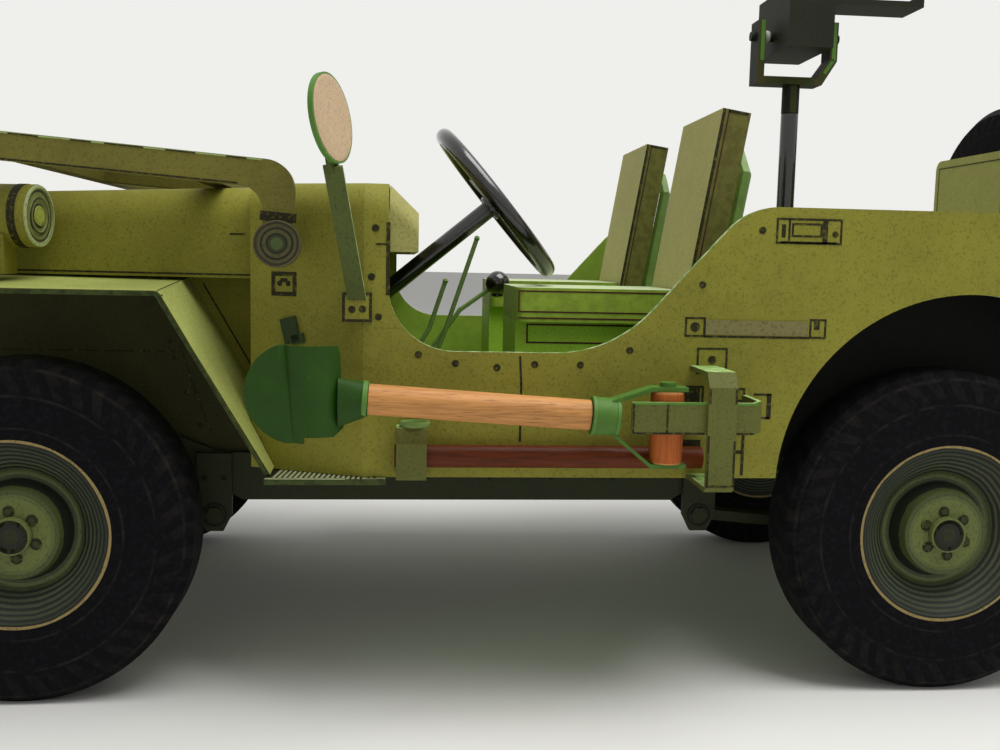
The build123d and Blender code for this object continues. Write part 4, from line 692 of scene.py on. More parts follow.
def draw(marks, line):
    """Draws flat marks in edit mode on the local xy plane, in millimetres.

    dot u v radius; ring u v radius; fill u v width height turn; box u v width height; bar u v u v.
    """
    for form, u, v, *sizes in marks:
        if form in ("dot", "ring"):
            bpy.ops.mesh.primitive_circle_add(
                vertices=20, radius=sizes[0] * MM, fill_type="NGON", location=(u * MM, v * MM, 0)
            )
        else:
            turn = math.radians(sizes[2]) if len(sizes) > 2 else 0.0
            width, height = sizes[0] * MM, sizes[1] * MM
            if form == "bar":
                run = Vector((sizes[0] - u, sizes[1] - v))
                turn = math.atan2(run.y, run.x)
                width, height = run.length * MM + line, line
                u, v = (u + sizes[0]) / 2, (v + sizes[1]) / 2
            bpy.ops.mesh.primitive_plane_add(size=1, location=(0, 0, 0), rotation=(0, 0, 0))
            bpy.ops.transform.resize(value=(width, height, 1), center_override=(0, 0, 0))
            if turn:
                bpy.ops.transform.rotate(value=-turn, orient_axis="Z", center_override=(0, 0, 0))
            bpy.ops.transform.translate(value=(u * MM, v * MM, 0))
        if form in ("ring", "box"):
            bpy.ops.mesh.inset(thickness=line)
            bpy.ops.mesh.delete(type="FACE")


def place(piece, origin, u, v, out):
    """Moves a drawn piece so its x, y and z lie along u, v and out, then applies the place."""
    object_mode()
    turn = Matrix((Vector(u).normalized(), Vector(v).normalized(), Vector(out).normalized())).transposed()
    piece.data.transform(Matrix.Translation(origin) @ turn.to_4x4())
    piece.data.update()


def face_outward():
    """Turns the open piece's normals outwards."""
    bpy.ops.object.mode_set(mode="EDIT")
    bpy.ops.mesh.select_all(action="SELECT")
    bpy.ops.mesh.normals_make_consistent(inside=False)
    bpy.ops.object.mode_set(mode="OBJECT")


def close_piece(piece, finish, body="car", smooth=None):
    """Gives a finished piece its outward normals, finish and body."""
    pick(piece)
    bpy.ops.object.transform_apply(location=True, rotation=True, scale=True)
    face_outward()
    if smooth:
        bpy.ops.object.shade_smooth_by_angle(angle=math.radians(smooth))
    piece.data.materials.clear()
    piece.data.materials.append(finish_named(finish))
    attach(piece, body)
    return piece


def print_on(name, marks, face, finish="ink", body="car", line=None, proud=None):
    """A sheet of thin raised marks laid on a flat face; line and proud are in millimetres."""
    sizes = bpy.context.scene.card_car_sizes
    line = line * MM if line else sizes.line
    proud = proud * MM if proud else sizes.ink_proud
    origin, u, v, out = face
    object_mode()
    bpy.ops.mesh.primitive_plane_add(size=MM)
    piece = open_made(name)
    bpy.ops.mesh.delete(type="VERT")
    draw(marks, line)
    bpy.ops.mesh.select_all(action="SELECT")
    bpy.ops.mesh.extrude_region_move(TRANSFORM_OT_translate={"value": (0, 0, 1.4 * proud)})
    # The marks start a little under the face
    place(piece, origin - Vector(out).normalized() * 0.4 * proud, u, v, out)
    return close_piece(piece, finish, body)


def copied(piece, name, move, body, mirrored=False):
    """A copy with its own mesh, moved or mirrored, on a body."""
    twin = piece.copy()
    twin.data = piece.data.copy()
    twin.name = name
    bpy.context.scene.collection.objects.link(twin)
    twin.parent = None
    twin.matrix_world = Matrix.Identity(4)
    twin.data.transform(move)
    if mirrored:
        pick(twin)
        face_outward()
    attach(twin, body)
    return twin


def turned_part(name, rings, sides=48):
    """A closed turned form on the local z axis; rings are height and radius in millimetres."""
    object_mode()
    height, radius = rings[0]
    bpy.ops.mesh.primitive_circle_add(
        vertices=sides, radius=radius * MM, fill_type="NGON", location=(0, 0, height * MM)
    )
    bpy.ops.object.transform_apply(location=True)
    piece = open_made(name)
    bpy.ops.mesh.select_all(action="SELECT")
    for (z0, r0), (z1, r1) in zip(rings, rings[1:]):
        bpy.ops.mesh.extrude_region_move(TRANSFORM_OT_translate={"value": (0, 0, (z1 - z0) * MM)})
        bpy.ops.transform.resize(value=(r1 / r0, r1 / r0, 1), center_override=(0, 0, z1 * MM))
    bpy.ops.object.mode_set(mode="OBJECT")
    return piece


def turned(name, rings, face, finish, body="car", smooth=30, sides=48):
    """A closed turned form that stands on a face, with its finish."""
    piece = turned_part(name, rings, sides)
    place(piece, *face)
    return close_piece(piece, finish, body, smooth)


def select_faces(piece, test):
    """Selects the open piece's faces that pass a test."""
    edit = bmesh.from_edit_mesh(piece.data)
    for face in edit.faces:
        face.select = test(face)
    bmesh.update_edit_mesh(piece.data)


# Operators: one for each group of pieces

class CardCarOperator:
    """What all the operators share."""
    bl_options = {"REGISTER", "UNDO"}


class CARDCAR_OT_finishes(CardCarOperator, bpy.types.Operator):
    """Lays printed card, paint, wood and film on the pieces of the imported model"""
    bl_idname = "cardcar.finishes"
    bl_label = "Card, paint and wood"

    def execute(self, context):
        for name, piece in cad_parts.items():
            spare = name.startswith("spare")
            if name in NODE_FINISHES:
                material = finish_named(NODE_FINISHES[name])
            elif "tyre" in name:
                material = printed_tyre("printed_card_" + name, middle(name), 0 if spare else 1)
            else:
                hub = SPARE_HUB if spare else HUBS[name.replace("wheel_disc_", "")]
                ways = (0, 1, 1) if spare else (1, 0, 1)
                material = printed_rings("printed_card_" + name, hub, ways, DISC_RINGS)
            piece.data.materials.clear()
            piece.data.materials.append(material)
        return {"FINISHED"}


SIDE_MARKS = (
    # Rivets along the tub's side, and the seam under the doorway
    dots(0.31, (7.1, 30.4), (4.0, 29.7), (0.5, 29.4), (-2.7, 29.7), (-6.6, 29.7), (-10.8, 31.0),
         (-16.9, 36.7), (-21.9, 41.4))
    + each("bar", (-1.6, 23.2, -1.6, 28.0), (-1.6, 28.0, -1.45, 30.3))
    # Footman loop
    + each("box", (-26.0, 41.4, 5.8, 2.2), (-25.8, 41.5, 2.7, 1.2))
    + each("bar", (-24.25, 40.6, -24.25, 42.3), (-23.6, 40.45, -28.4, 40.45))
    + each("fill", (-27.4, 41.4, 0.45, 1.9), (-23.75, 41.4, 0.35, 1.1))
    + dots(0.27, (-28.3, 41.2))
    # Grab handle's ends
    + each("box", (-16.4, 33.1, 1.8, 1.7), (-27.2, 33.1, 1.5, 1.7))
    + each("fill", (-27.1, 33.4, 0.5, 0.75))
    + each("bar", (-17.3, 32.3, -26.4, 32.3))
    + dots(0.42, (-16.4, 33.1))
    # Strap plates
    + each("box", (-18.0, 30.2, 2.7, 2.3), (-20.5, 27.3, 1.1, 1.2))
    + each("bar", (-21.9, 27.35, -23.3, 27.35), (-21.4, 25.3, -23.2, 25.3), (-18.75, 24.15, -21.2, 24.15),
           (-19.95, 20.4, -19.95, 24.1))
    + each("fill", (-23.2, 26.3, 0.4, 2.2), (-21.05, 22.2, 0.26, 3.9), (-20.5, 22.3, 1.0, 0.3))
    + dots(0.36, (-18.0, 30.3))
    # Dark patches under the strap, behind the grip
    + each("fill", (-16.3, 27.1, 1.5, 1.5), (-16.2, 22.75, 2.2, 1.2))
    + each("box", (-16.4, 27.1, 2.0, 1.9))
)
HANDLE_MARKS = each("fill", (-21.8, 33.1, 9.0, 1.25))
COWL_MARKS = (
    dots(0.31, (10.76, 40.8), (11.05, 36.8)) + dots(0.29, (10.45, 33.5))
    + each("bar", (10.6, 39.5, 9.9, 39.5)) + each("fill", (9.7, 38.3, 0.32, 6.0))
)
# On the cowl's slope, and the bent tab above the shovel's blade
SLOPE_MARKS = (
    each("box", (-7.45, 36.0, 2.4, 2.05)) + dots(0.24, (-7.05, 36.05), (-7.85, 36.05))
    + each("bar", (-7.6, 36.3, -7.3, 36.3))
)
TAB_MARKS = each("fill", (-6.75, 32.1, 1.45, 2.2, 14), (-6.0, 31.4, 1.1, 0.8, 14))
# The cowl's tapered side: its rear corner, and the run from the front to it, x and y
TAPER_CORNER = (11.7, 28.9)
TAPER_RUN = (11.7 - 21.5, 28.9 - 24.6)


class CARDCAR_OT_side_print(CardCarOperator, bpy.types.Operator):
    """Prints rivets, plates and seams on both sides of the tub and cowl"""
    bl_idname = "cardcar.side_print"
    bl_label = "Side print"

    def execute(self, context):
        for side, word in SIDES:
            face = side_face(side * SIDE_Y, side)
            print_on("side_print_" + word, SIDE_MARKS, face, line=0.18)
            print_on("cowl_print_" + word, COWL_MARKS, face)
            handle = print_on("grab_handle_" + word, HANDLE_MARKS, face, "pale_ink", proud=0.1)
            slope = tapered_face(side, TAPER_CORNER, TAPER_RUN)
            print_on("cowl_slope_print_" + word, SLOPE_MARKS, slope, line=0.36)
            tab = print_on("cowl_tab_" + word, TAB_MARKS, slope, "dark_green", proud=0.3)
        return {"FINISHED"}


# The fender's outer edge, and how far its top rises from there to the bay wall
FENDER_Y = 29.4
FENDER_RISE = 0.9
BAY_MARKS = (
    each("bar", (29.4, 29.3, 51.6, 29.3), (29.1, 29.9, 27.8, 25.7), (27.8, 25.7, 26.4, 21.9),
         (33.0, 22.4, 51.6, 22.4))
    + dots(0.27, (30.0, 30.2), (29.6, 28.7), (28.5, 25.5), (27.3, 22.4))
    + dots(0.3, (50.6, 30.2), (50.6, 25.0))
    # Crease behind the slope
    + each("bar", (26.9, 35.6, 22.0, 27.1))
)
# On the top, u runs along x and v inwards from the outer edge; on the slope, u runs down from the fold
FENDER_MARKS = (
    each("bar", (28.5, 0.1, 52.2, 0.1), (28.3, 0.4, 28.3, 11.6), (29.0, 12.2, 52.2, 12.2))
    + dots(0.3, (30.6, 10.9), (38.0, 11.3), (45.0, 11.3), (51.2, 11.3))
)
FENDER_SLOPE_MARKS = (
    each("bar", (0.3, 0.12, 17.2, 0.12), (0.4, 0.4, 0.4, 11.4)) + dots(0.2, (2.0, 4.7), (9.0, 4.7))
)


class CARDCAR_OT_fender_print(CardCarOperator, bpy.types.Operator):
    """Prints the fenders' tops and slopes and the dark walls under them"""
    bl_idname = "cardcar.fender_print"
    bl_label = "Fender print"

    def execute(self, context):
        run = FENDER_Y - BAY_WALL_Y
        down = Vector((FENDER_FOOT[0] - FENDER_FOLD[0], 0, FENDER_FOOT[1] - FENDER_FOLD[1]))
        for side, word in SIDES:
            print_on("bay_print_" + word, BAY_MARKS, side_face(side * BAY_WALL_Y, side))
            top = (at(0, side * FENDER_Y, FENDER_FOLD[1]), (1, 0, 0), (0, -side * run, FENDER_RISE),
                   (0, side * FENDER_RISE, run))
            print_on("fender_print_" + word, FENDER_MARKS, top, "soft_ink")
            slope = (at(FENDER_FOLD[0], side * FENDER_Y, FENDER_FOLD[1]), down, (0, -side, 0),
                     (down.z, 0, -down.x))
            print_on("fender_slope_print_" + word, FENDER_SLOPE_MARKS, slope, "soft_ink")
        return {"FINISHED"}


# The step: x of its front and rear end, how deep it is there, and the tread's stripes
STEP_FRONT, STEP_REAR = 19.5, 10.2
STEP_DEEP, STEP_SHALLOW = 3.9, 0.5
STEP_TOP = 19.9
STRIPE_PITCH = 0.44
STRIPE_LEAN = -0.1
STRIPE_OUTER = 29.25


class CARDCAR_OT_step_print(CardCarOperator, bpy.types.Operator):
    """Draws the pale stripes of the tread on the dark steps"""
    bl_idname = "cardcar.step_print"
    bl_label = "Step treads"

    def execute(self, context):
        taper = STEP_FRONT - TAPER_CORNER[0]
        for side, word in SIDES:
            stripes = []
            for i in range(1, int((STEP_FRONT - STEP_REAR) / STRIPE_PITCH)):
                x = STEP_FRONT - i * STRIPE_PITCH
                deep = STEP_SHALLOW + (STEP_DEEP - STEP_SHALLOW) * max(0.0, (x - TAPER_CORNER[0]) / taper)
                inner = FENDER_Y - deep + 0.1
                lean = STRIPE_LEAN * (STRIPE_OUTER - inner)
                stripes.append(("bar", x, side * STRIPE_OUTER, x + lean, side * inner))
            # A worn pale spot at the narrow end, and the lit front edge
            stripes += each("fill", (10.6, side * 29.1, 1.7, 0.4))
            stripes += each("bar", (19.6, side * 29.32, 13.2, side * 29.32))
            strip = print_on("step_ribs_" + word, stripes, top_face(STEP_TOP), "tread_ink", line=0.24,
                             proud=0.05)
        return {"FINISHED"}


# The bonnet: the rear corner of its side, the run to the front, x and y, and its top at rear and front
BONNET_CORNER = (21.6, 21.0)
BONNET_RUN = (31.0, -4.0)
BONNET_TOP, BONNET_NOSE = 44.5, 43.4
BONNET_SIDE_MARKS = (
    each("bar", (0.25, 36.6, 30.8, 36.6), (0.25, 36.6, 0.25, 41.3), (30.8, 36.6, 30.8, 40.2),
         (23.5, 36.9, 23.5, 38.6), (1.0, 40.2, 2.2, 40.2))
    + each("box", (23.5, 37.6, 1.3, 1.9)) + dots(0.3, (23.5, 37.9))
)


class CARDCAR_OT_bonnet_print(CardCarOperator, bpy.types.Operator):
    """Prints the bonnet's hinge line, borders and side catches"""
    bl_idname = "cardcar.bonnet_print"
    bl_label = "Bonnet print"

    def execute(self, context):
        rise = (BONNET_TOP - BONNET_NOSE) / BONNET_RUN[0]
        marks = each("bar", (0.4, 0.0, 30.6, 0.0), (0.3, -17.5, 0.3, 17.5), (30.6, -13.5, 30.6, 13.5))
        marks += [("dot", 0.9 + i * 4.9, way * 0.75, 0.2) for i in range(7) for way in (-1, 1)]
        top = at(BONNET_CORNER[0], 0, BONNET_TOP), (1, 0, -rise), (0, 1, 0), (rise, 0, 1)
        print_on("bonnet_top_print", marks, top)
        for side, word in SIDES:
            face = tapered_face(side, BONNET_CORNER, BONNET_RUN)
            print_on("bonnet_side_print_" + word, BONNET_SIDE_MARKS, face)
        return {"FINISHED"}


# The folded windscreen: its tilt, its side, and its upper and lower face above the line of its pivots
SCREEN_TILT = math.radians(4.3)
SCREEN_SIDE_Y = 30.25
SCREEN_TOP = 6.63
SCREEN_UNDER = 4.85
# The stacked card rings on a pivot
PIVOT_STACK = [
    (0, 1.86), (0.1, 1.86), (0.14, 1.82), (0.14, 1.6), (0.07, 1.56), (0.07, 1.2), (0.14, 1.15), (0.16, 0.9),
    (0.1, 0.84), (0.1, 0.6), (0.17, 0.54), (0.2, 0.25),
]


class CARDCAR_OT_windscreen(CardCarOperator, bpy.types.Operator):
    """Outlines the folded windscreen's arms and panes, prints its rivets and adds its pivots' rings"""
    bl_idname = "cardcar.windscreen"
    bl_label = "Windscreen"

    def execute(self, context):
        along = Vector((math.cos(SCREEN_TILT), 0, math.sin(SCREEN_TILT)))
        over = Vector((-along.z, 0, along.x))
        lines = each("bar", (3.6, 4.5, 24.0, 4.5), (24.05, 4.6, 24.05, 6.5))
        lines += each("fill", (0.15, 2.15, 2.9, 0.75))
        # The lit upper edge is broken by dark dashes
        high = SCREEN_TOP - 0.12
        dashes = [("bar", u, high, u + 1.5 + 0.7 * (i % 3), high) for i, u in enumerate(range(3, 23, 4))]
        # A pale green stripe along the top: the painted edge, lightened as a painted highlight
        lit = each("bar", (1.8, SCREEN_TOP - 0.1, 24.0, SCREEN_TOP - 0.1))
        for side, word in SIDES:
            arm = at(PIVOT[0], side * SCREEN_SIDE_Y, PIVOT[2]), along, over, (0, side, 0)
            print_on("screen_arm_print_" + word, lines, arm, "ink", "windscreen", 0.14)
            print_on("screen_arm_dashes_" + word, dashes, arm, "ink", "windscreen", 0.1, 0.05)
            edge = print_on("screen_arm_edge_" + word, lit, arm, "pale_edge", "windscreen", 0.14)
            turned("pivot_rings_" + word, PIVOT_STACK,
                   side_face(side * (PIVOT[1] - 0.1), side, PIVOT[0], PIVOT[2]), "pivot_rings")
        marks = each("box", (15.3, -15.0, 13.6, 28.6), (15.3, 15.0, 13.6, 28.6))
        marks += [("dot", u, y, 0.25) for u in (7.2, 23.2) for y in (-28, -19, -10, 10, 19, 28)]
        pivot = at(PIVOT[0], 0, PIVOT[2])
        for name, height, out in (("top", SCREEN_TOP, over), ("under", SCREEN_UNDER, -over)):
            face = pivot + over * height * MM, along, (0, 1, 0), out
            print_on("screen_%s_print" % name, marks, face, "soft_ink", "windscreen")
        return {"FINISHED"}


# The wheel nuts' circle, and how far the nuts, the hub's end and the rim's lip lie from a wheel's middle
NUT_CIRCLE = 2.02
NUTS_OUT = 2.8
HUB_OUT = 3.1
LIP_OUT = 3.02


def wheel_face(out):
    """A face square to the front left wheel's axle."""
    return HUBS["front_left"] + Vector((0, out * MM, 0)), (1, 0, 0), (0, 0, 1), (0, 1, 0)


class CARDCAR_OT_wheel_centres(CardCarOperator, bpy.types.Operator):
    """Adds nuts, hub rings and cut card edges to the wheels and the spare"""
    bl_idname = "cardcar.wheel_centres"
    bl_label = "Wheel centres"

    def execute(self, context):
        body = "wheel_front_left"
        turns = [math.radians(60 * i + 22) for i in range(6)]
        nuts = [(NUT_CIRCLE * math.cos(turn), NUT_CIRCLE * math.sin(turn)) for turn in turns]
        plate = wheel_face(NUTS_OUT)
        first = [
            print_on("wheel_print_front_left", dots(0.5, *nuts) + dots(1.62, (0, 0)), plate, "ink", body,
                     proud=0.05),
            print_on("wheel_nuts_front_left", dots(0.26, *nuts), plate, "dark_green", body, proud=0.12),
            turned("hub_cap_front_left", [
                (0, 1.5), (0.22, 1.5), (0.3, 1.4), (0.3, 1.05), (0.22, 1.0), (0.22, 0.7), (0.3, 0.65),
                (0.34, 0.4),
            ], wheel_face(HUB_OUT), "dark_card", body),
        ]
        # The rim's lip is a ring: its two round faces are taken off and the openings joined
        lip = turned_part("rim_lip_front_left", [(0, 8.0), (0.1, 8.0), (0.1, 7.82), (0.0, 7.78)], 96)
        pick(lip)
        bpy.ops.object.mode_set(mode="EDIT")
        select_faces(lip, lambda face: len(face.verts) > 4)
        bpy.ops.mesh.delete(type="FACE")
        bpy.ops.mesh.select_all(action="SELECT")
        bpy.ops.mesh.bridge_edge_loops()
        place(lip, *wheel_face(LIP_OUT))
        first.append(close_piece(lip, "rim_edge", body, 30))
        back = Matrix.Translation(-HUBS["front_left"])
        for name, centre in list(HUBS.items())[1:]:
            mirrored = "right" in name
            flip = Matrix.Scale(-1, 4, (0, 1, 0)) if mirrored else Matrix.Identity(4)
            move = Matrix.Translation(centre) @ flip @ back
            for piece in first:
                copied(piece, piece.name.replace("front_left", name), move, "wheel_" + name, mirrored)
        move = Matrix.Translation(SPARE_HUB) @ Matrix.Rotation(math.radians(90), 4, "Z") @ back
        for piece in first:
            copied(piece, piece.name.replace("front_left", "spare"), move, "car")
        return {"FINISHED"}


# The steering wheel: its ring, its spokes' middle and length, and its column's length
RING_R, RING_TUBE_R = 8.1, 0.76
SPOKE_AT, SPOKE_LENGTH = 4.4, 7.2
COLUMN_LENGTH = 26.2
# The gear lever's ball
BALL_AT = (-1.95, -0.4, 35.85)
BALL_R = 1.36


class CARDCAR_OT_steering(CardCarOperator, bpy.types.Operator):
    """Bends the glossy steering wheel and its column from tube, and adds the gear lever's ball"""
    bl_idname = "cardcar.steering"
    bl_label = "Steering wheel"

    def execute(self, context):
        flat = math.cos(STEER_TILT)
        up = Vector((-flat * math.cos(STEER_TOE), flat * math.sin(STEER_TOE), math.sin(STEER_TILT)))
        level = Vector((up.y, -up.x, 0)).normalized()
        object_mode()
        bpy.ops.mesh.primitive_torus_add(
            major_radius=RING_R * MM, minor_radius=RING_TUBE_R * MM, major_segments=96, minor_segments=20
        )
        piece = open_made("steering_wheel")
        for i in range(3):
            turn = math.radians(120 * i)
            bpy.ops.mesh.primitive_cylinder_add(
                vertices=16, radius=0.36 * MM, depth=SPOKE_LENGTH * MM, location=(0, 0, 0)
            )
            bpy.ops.transform.rotate(value=math.radians(90), orient_axis="Y", center_override=(0, 0, 0))
            bpy.ops.transform.rotate(value=-turn, orient_axis="Z", center_override=(0, 0, 0))
            bpy.ops.transform.translate(
                value=(SPOKE_AT * MM * math.cos(turn), SPOKE_AT * MM * math.sin(turn), -0.1 * MM)
            )
        # The hub, its cap and the column: radius, length and height of the middle
        column = (0.85, COLUMN_LENGTH, -COLUMN_LENGTH / 2)
        for radius, depth, height in ((1.3, 1.3, -0.25), (1.0, 0.5, 0.5), column):
            bpy.ops.mesh.primitive_cylinder_add(
                vertices=32, radius=radius * MM, depth=depth * MM, location=(0, 0, height * MM)
            )
            if depth < COLUMN_LENGTH:
                bpy.ops.mesh.bevel(offset=0.15 * MM, segments=2, affect="EDGES")
        place(piece, at(*STEER_AT), up.cross(level), level, up)
        close_piece(piece, "black", smooth=40)
        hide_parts("steering_wheel_and_column")
        # Ball on the gear lever, with a short collar below
        object_mode()
        bpy.ops.mesh.primitive_uv_sphere_add(segments=32, ring_count=18, radius=BALL_R * MM)
        knob = open_made("gear_lever_ball")
        bpy.ops.mesh.select_all(action="DESELECT")
        select_faces(knob, lambda face: face.calc_center_median().z < -1.2 * MM)
        bpy.ops.mesh.extrude_region_move(TRANSFORM_OT_translate={"value": (0, 0, -0.25 * MM)})
        place(knob, *top_face(BALL_AT[2], *BALL_AT[:2]))
        close_piece(knob, "black", smooth=40)
        return {"FINISHED"}


# The mirror arm's foot on the side, x and z, and how far its plate stands off
MIRROR_FOOT = (12.2, 34.3)
MIRROR_FOOT_T = 0.4
MIRROR_T = 0.8


class CARDCAR_OT_mirror(CardCarOperator, bpy.types.Operator):
    """Adds the mirror's buff face, and prints its back and its foot"""
    bl_idname = "cardcar.mirror"
    bl_label = "Mirror"

    def execute(self, context):
        out = Vector((-math.cos(MIRROR_TURN), math.sin(MIRROR_TURN),
                      math.cos(MIRROR_TURN) * math.tan(MIRROR_LEAN))).normalized()
        up = Vector((math.sin(MIRROR_LEAN), 0, math.cos(MIRROR_LEAN)))
        side = up.cross(out)
        face = turned("mirror_face", [(-0.05, 3.28), (0.03, 3.28), (0.05, 3.2), (0.05, 2.9)],
                      (at(*MIRROR_AT), side, up, out), "mirror", sides=64)
        marks = each("box", (0.05, -0.55, 1.0, 1.9)) + dots(0.14, (0.05, -0.3))
        rear = at(*MIRROR_AT) - out * MIRROR_T * MM, side, up, -out
        print_on("mirror_back_print", marks, rear, "soft_ink", proud=0.04)
        foot = side_face(SIDE_Y + MIRROR_FOOT_T)
        marks = each("box", (*MIRROR_FOOT, 2.45, 2.45)) + dots(0.3, (12.62, 34.1), (11.76, 34.15))
        print_on("mirror_foot_print", marks, foot, line=0.24, proud=0.06)
        print_on("mirror_foot_face", each("fill", (*MIRROR_FOOT, 2.4, 2.4)), foot, "body_card")
        return {"FINISHED"}


# The lamps on grille and rear panel: y and z of their middles
HEAD_LAMP = (13.3, 36.0)
MARKER_LAMP = (13.3, 29.6)
TAIL_LAMP = (24.8, 26.4)
REAR_X = -64.5


class CARDCAR_OT_lamps(CardCarOperator, bpy.types.Operator):
    """Adds lenses, rims and printed rings to the lamps"""
    bl_idname = "cardcar.lamps"
    bl_label = "Lamps"

    def execute(self, context):
        centre = at(*DRUM_LAMP)
        ahead = Vector((math.cos(DRUM_LAMP_TOE), -math.sin(DRUM_LAMP_TOE), 0))
        across = Vector((-ahead.y, ahead.x, 0))
        up = Vector((0, 0, 1))
        turned("drum_lamp_back", [
            (0, 2.64), (0.14, 2.64), (0.18, 2.58), (0.18, 2.36), (0.04, 2.3), (0.04, 1.66), (0.14, 1.6),
            (0.14, 1.36), (0.06, 1.3), (0.06, 0.92), (0.16, 0.86), (0.2, 0.4),
        ], (centre, across, up, -ahead), "lamp_rings")
        turned("drum_lamp_band", [(0, 2.74), (0.7, 2.74), (0.7, 2.65)],
               (centre + ahead * 0.75 * MM, across, up, ahead), "ink")
        turned("drum_lamp_lens", [(-0.1, 2.3), (0.08, 2.3), (0.14, 2.1), (0.2, 1.4), (0.22, 0.7)],
               (centre + ahead * 4.6 * MM, across, up, ahead), "lens", smooth=40)
        for side, word in SIDES:
            y, z = side * HEAD_LAMP[0], HEAD_LAMP[1]
            turned("head_lamp_lens_" + word, [(-0.1, 2.4), (0.1, 2.4), (0.22, 2.0), (0.3, 1.2), (0.33, 0.5)],
                   end_face(54.0, 1, y, z), "lens", smooth=40)
            print_on("head_lamp_rim_" + word, each("ring", (0, 0, 2.75), (0, 0, 2.45)),
                     end_face(53.98, 1, y, z), proud=0.05)
            turned("marker_lens_" + word, [(0, 0.85), (0.1, 0.85), (0.2, 0.6), (0.24, 0.3)],
                   end_face(53.9, 1, side * MARKER_LAMP[0], MARKER_LAMP[1]), "lens", smooth=40, sides=32)
            tail = end_face(REAR_X, -1, side * TAIL_LAMP[0], TAIL_LAMP[1])
            turned("tail_lamp_" + word, [(0, 1.15), (0.2, 1.15), (0.3, 1.0), (0.3, 0.7)], tail, "red_lens",
                   smooth=40, sides=32)
            print_on("tail_lamp_rim_" + word, each("ring", (0, 0, 1.3)), tail, proud=0.15)
        return {"FINISHED"}


# The faces of grille and bumper, and the grille's slots
GRILLE_X = 53.3
BUMPER_X = 61.9
SLOT_COUNT, SLOT_PITCH = 9, 2.1


class CARDCAR_OT_grille_print(CardCarOperator, bpy.types.Operator):
    """Outlines the grille's slots and the front bumper, and prints their rivets"""
    bl_idname = "cardcar.grille_print"
    bl_label = "Grille print"

    def execute(self, context):
        first = -(SLOT_COUNT - 1) / 2
        marks = [("box", (first + i) * SLOT_PITCH, 34.0, 1.55, 14.4) for i in range(SLOT_COUNT)]
        marks += [("dot", y, z, 0.28) for y in (-16.6, 16.6) for z in (24.0, 27.6, 31.0)]
        marks += [("ring", side * HEAD_LAMP[0], HEAD_LAMP[1], 3.25) for side in (RIGHT, LEFT)]
        marks += each("bar", (-16.8, 23.2, 16.8, 23.2), (-14.6, 42.8, 14.6, 42.8))
        print_on("grille_print", marks, end_face(GRILLE_X), line=0.14)
        marks = each("box", (0, 20.3, 54.2, 3.6))
        marks += [("dot", y, 20.3, 0.4) for y in (-18.4, -16.4, 16.4, 18.4)]
        print_on("bumper_print", marks, end_face(BUMPER_X))
        return {"FINISHED"}


# The shovel's line: its height at an x, and how much it rises in each millimetre forward
SHOVEL_AT = (11.2, 27.1)
SHOVEL_SLOPE = 0.063
LEVEL_STRAP_MARKS = each("bar", (-10.2, 24.8, -15.9, 24.8), (-10.12, 24.9, -10.12, 27.1),
                         (-12.9, 24.9, -12.9, 27.1), (-18.6, 24.8, -20.0, 24.8))
UPRIGHT_STRAP_MARKS = each("bar", (-16.22, 20.6, -16.22, 24.6), (-18.38, 20.6, -18.38, 24.2),
                           (-16.22, 20.55, -18.38, 20.55), (-16.22, 27.4, -16.22, 28.4),
                           (-18.38, 27.4, -18.38, 28.4))


class CARDCAR_OT_tools(CardCarOperator, bpy.types.Operator):
    """Adds the shovel's grip and rims, prints the straps and rolls the end of the axe handle's clip"""
    bl_idname = "cardcar.tools"
    bl_label = "Tools and straps"

    def execute(self, context):
        # The grip is a second piece of dowel with upright grain
        grip = turned("shovel_grip_wood", [(0, 1.2), (0.12, 1.38), (5.75, 1.38), (5.88, 1.2)],
                      top_face(22.1, -13.3, SHOVEL_Y), "grip_wood", smooth=40, sides=40)
        # Painted edges that stand proud round the socket's mouth and the ferrule
        way = Vector((1, 0, SHOVEL_SLOPE)).normalized()
        side = Vector((0, 1, 0))
        rim = [(0, 1.5), (0.04, 1.6), (0.26, 1.6), (0.3, 1.5)]
        for name, x, z, rings in (
            ("shovel_socket_rim", 11.15, SHOVEL_AT[1], [(0, 1.34), (0.05, 1.46), (0.4, 1.48), (0.46, 1.36)]),
            ("ferrule_front_rim", -7.25, SHOVEL_AT[1] - (SHOVEL_AT[0] + 7.25) * SHOVEL_SLOPE, rim),
            ("ferrule_rear_rim", -9.2, SHOVEL_AT[1] - (SHOVEL_AT[0] + 9.2) * SHOVEL_SLOPE, rim),
        ):
            turned(name, rings, (at(x, SHOVEL_Y, z), side.cross(way), side, way), "edge_paint", sides=40)
        # Printed outlines on the straps, and their green cut edges
        level = side_face(LEVEL_STRAP_Y)
        print_on("level_strap_print", LEVEL_STRAP_MARKS, level)
        print_on("level_strap_edge", each("fill", (-15.2, 27.22, 10.4, 0.2)), level, "edge_paint")
        print_on("upright_strap_print", UPRIGHT_STRAP_MARKS, side_face(UPRIGHT_STRAP_Y))
        # The axe clip's rolled end
        object_mode()
        bpy.ops.mesh.primitive_torus_add(
            major_radius=1.15 * MM, minor_radius=0.14 * MM, major_segments=36, minor_segments=10
        )
        loop = open_made("axe_clip_loop")
        bpy.ops.transform.resize(value=(1.0, 0.72, 1.8))
        place(loop, *top_face(24.75, 7.35, 30.1))
        close_piece(loop, "wire_paint", smooth=40)
        return {"FINISHED"}


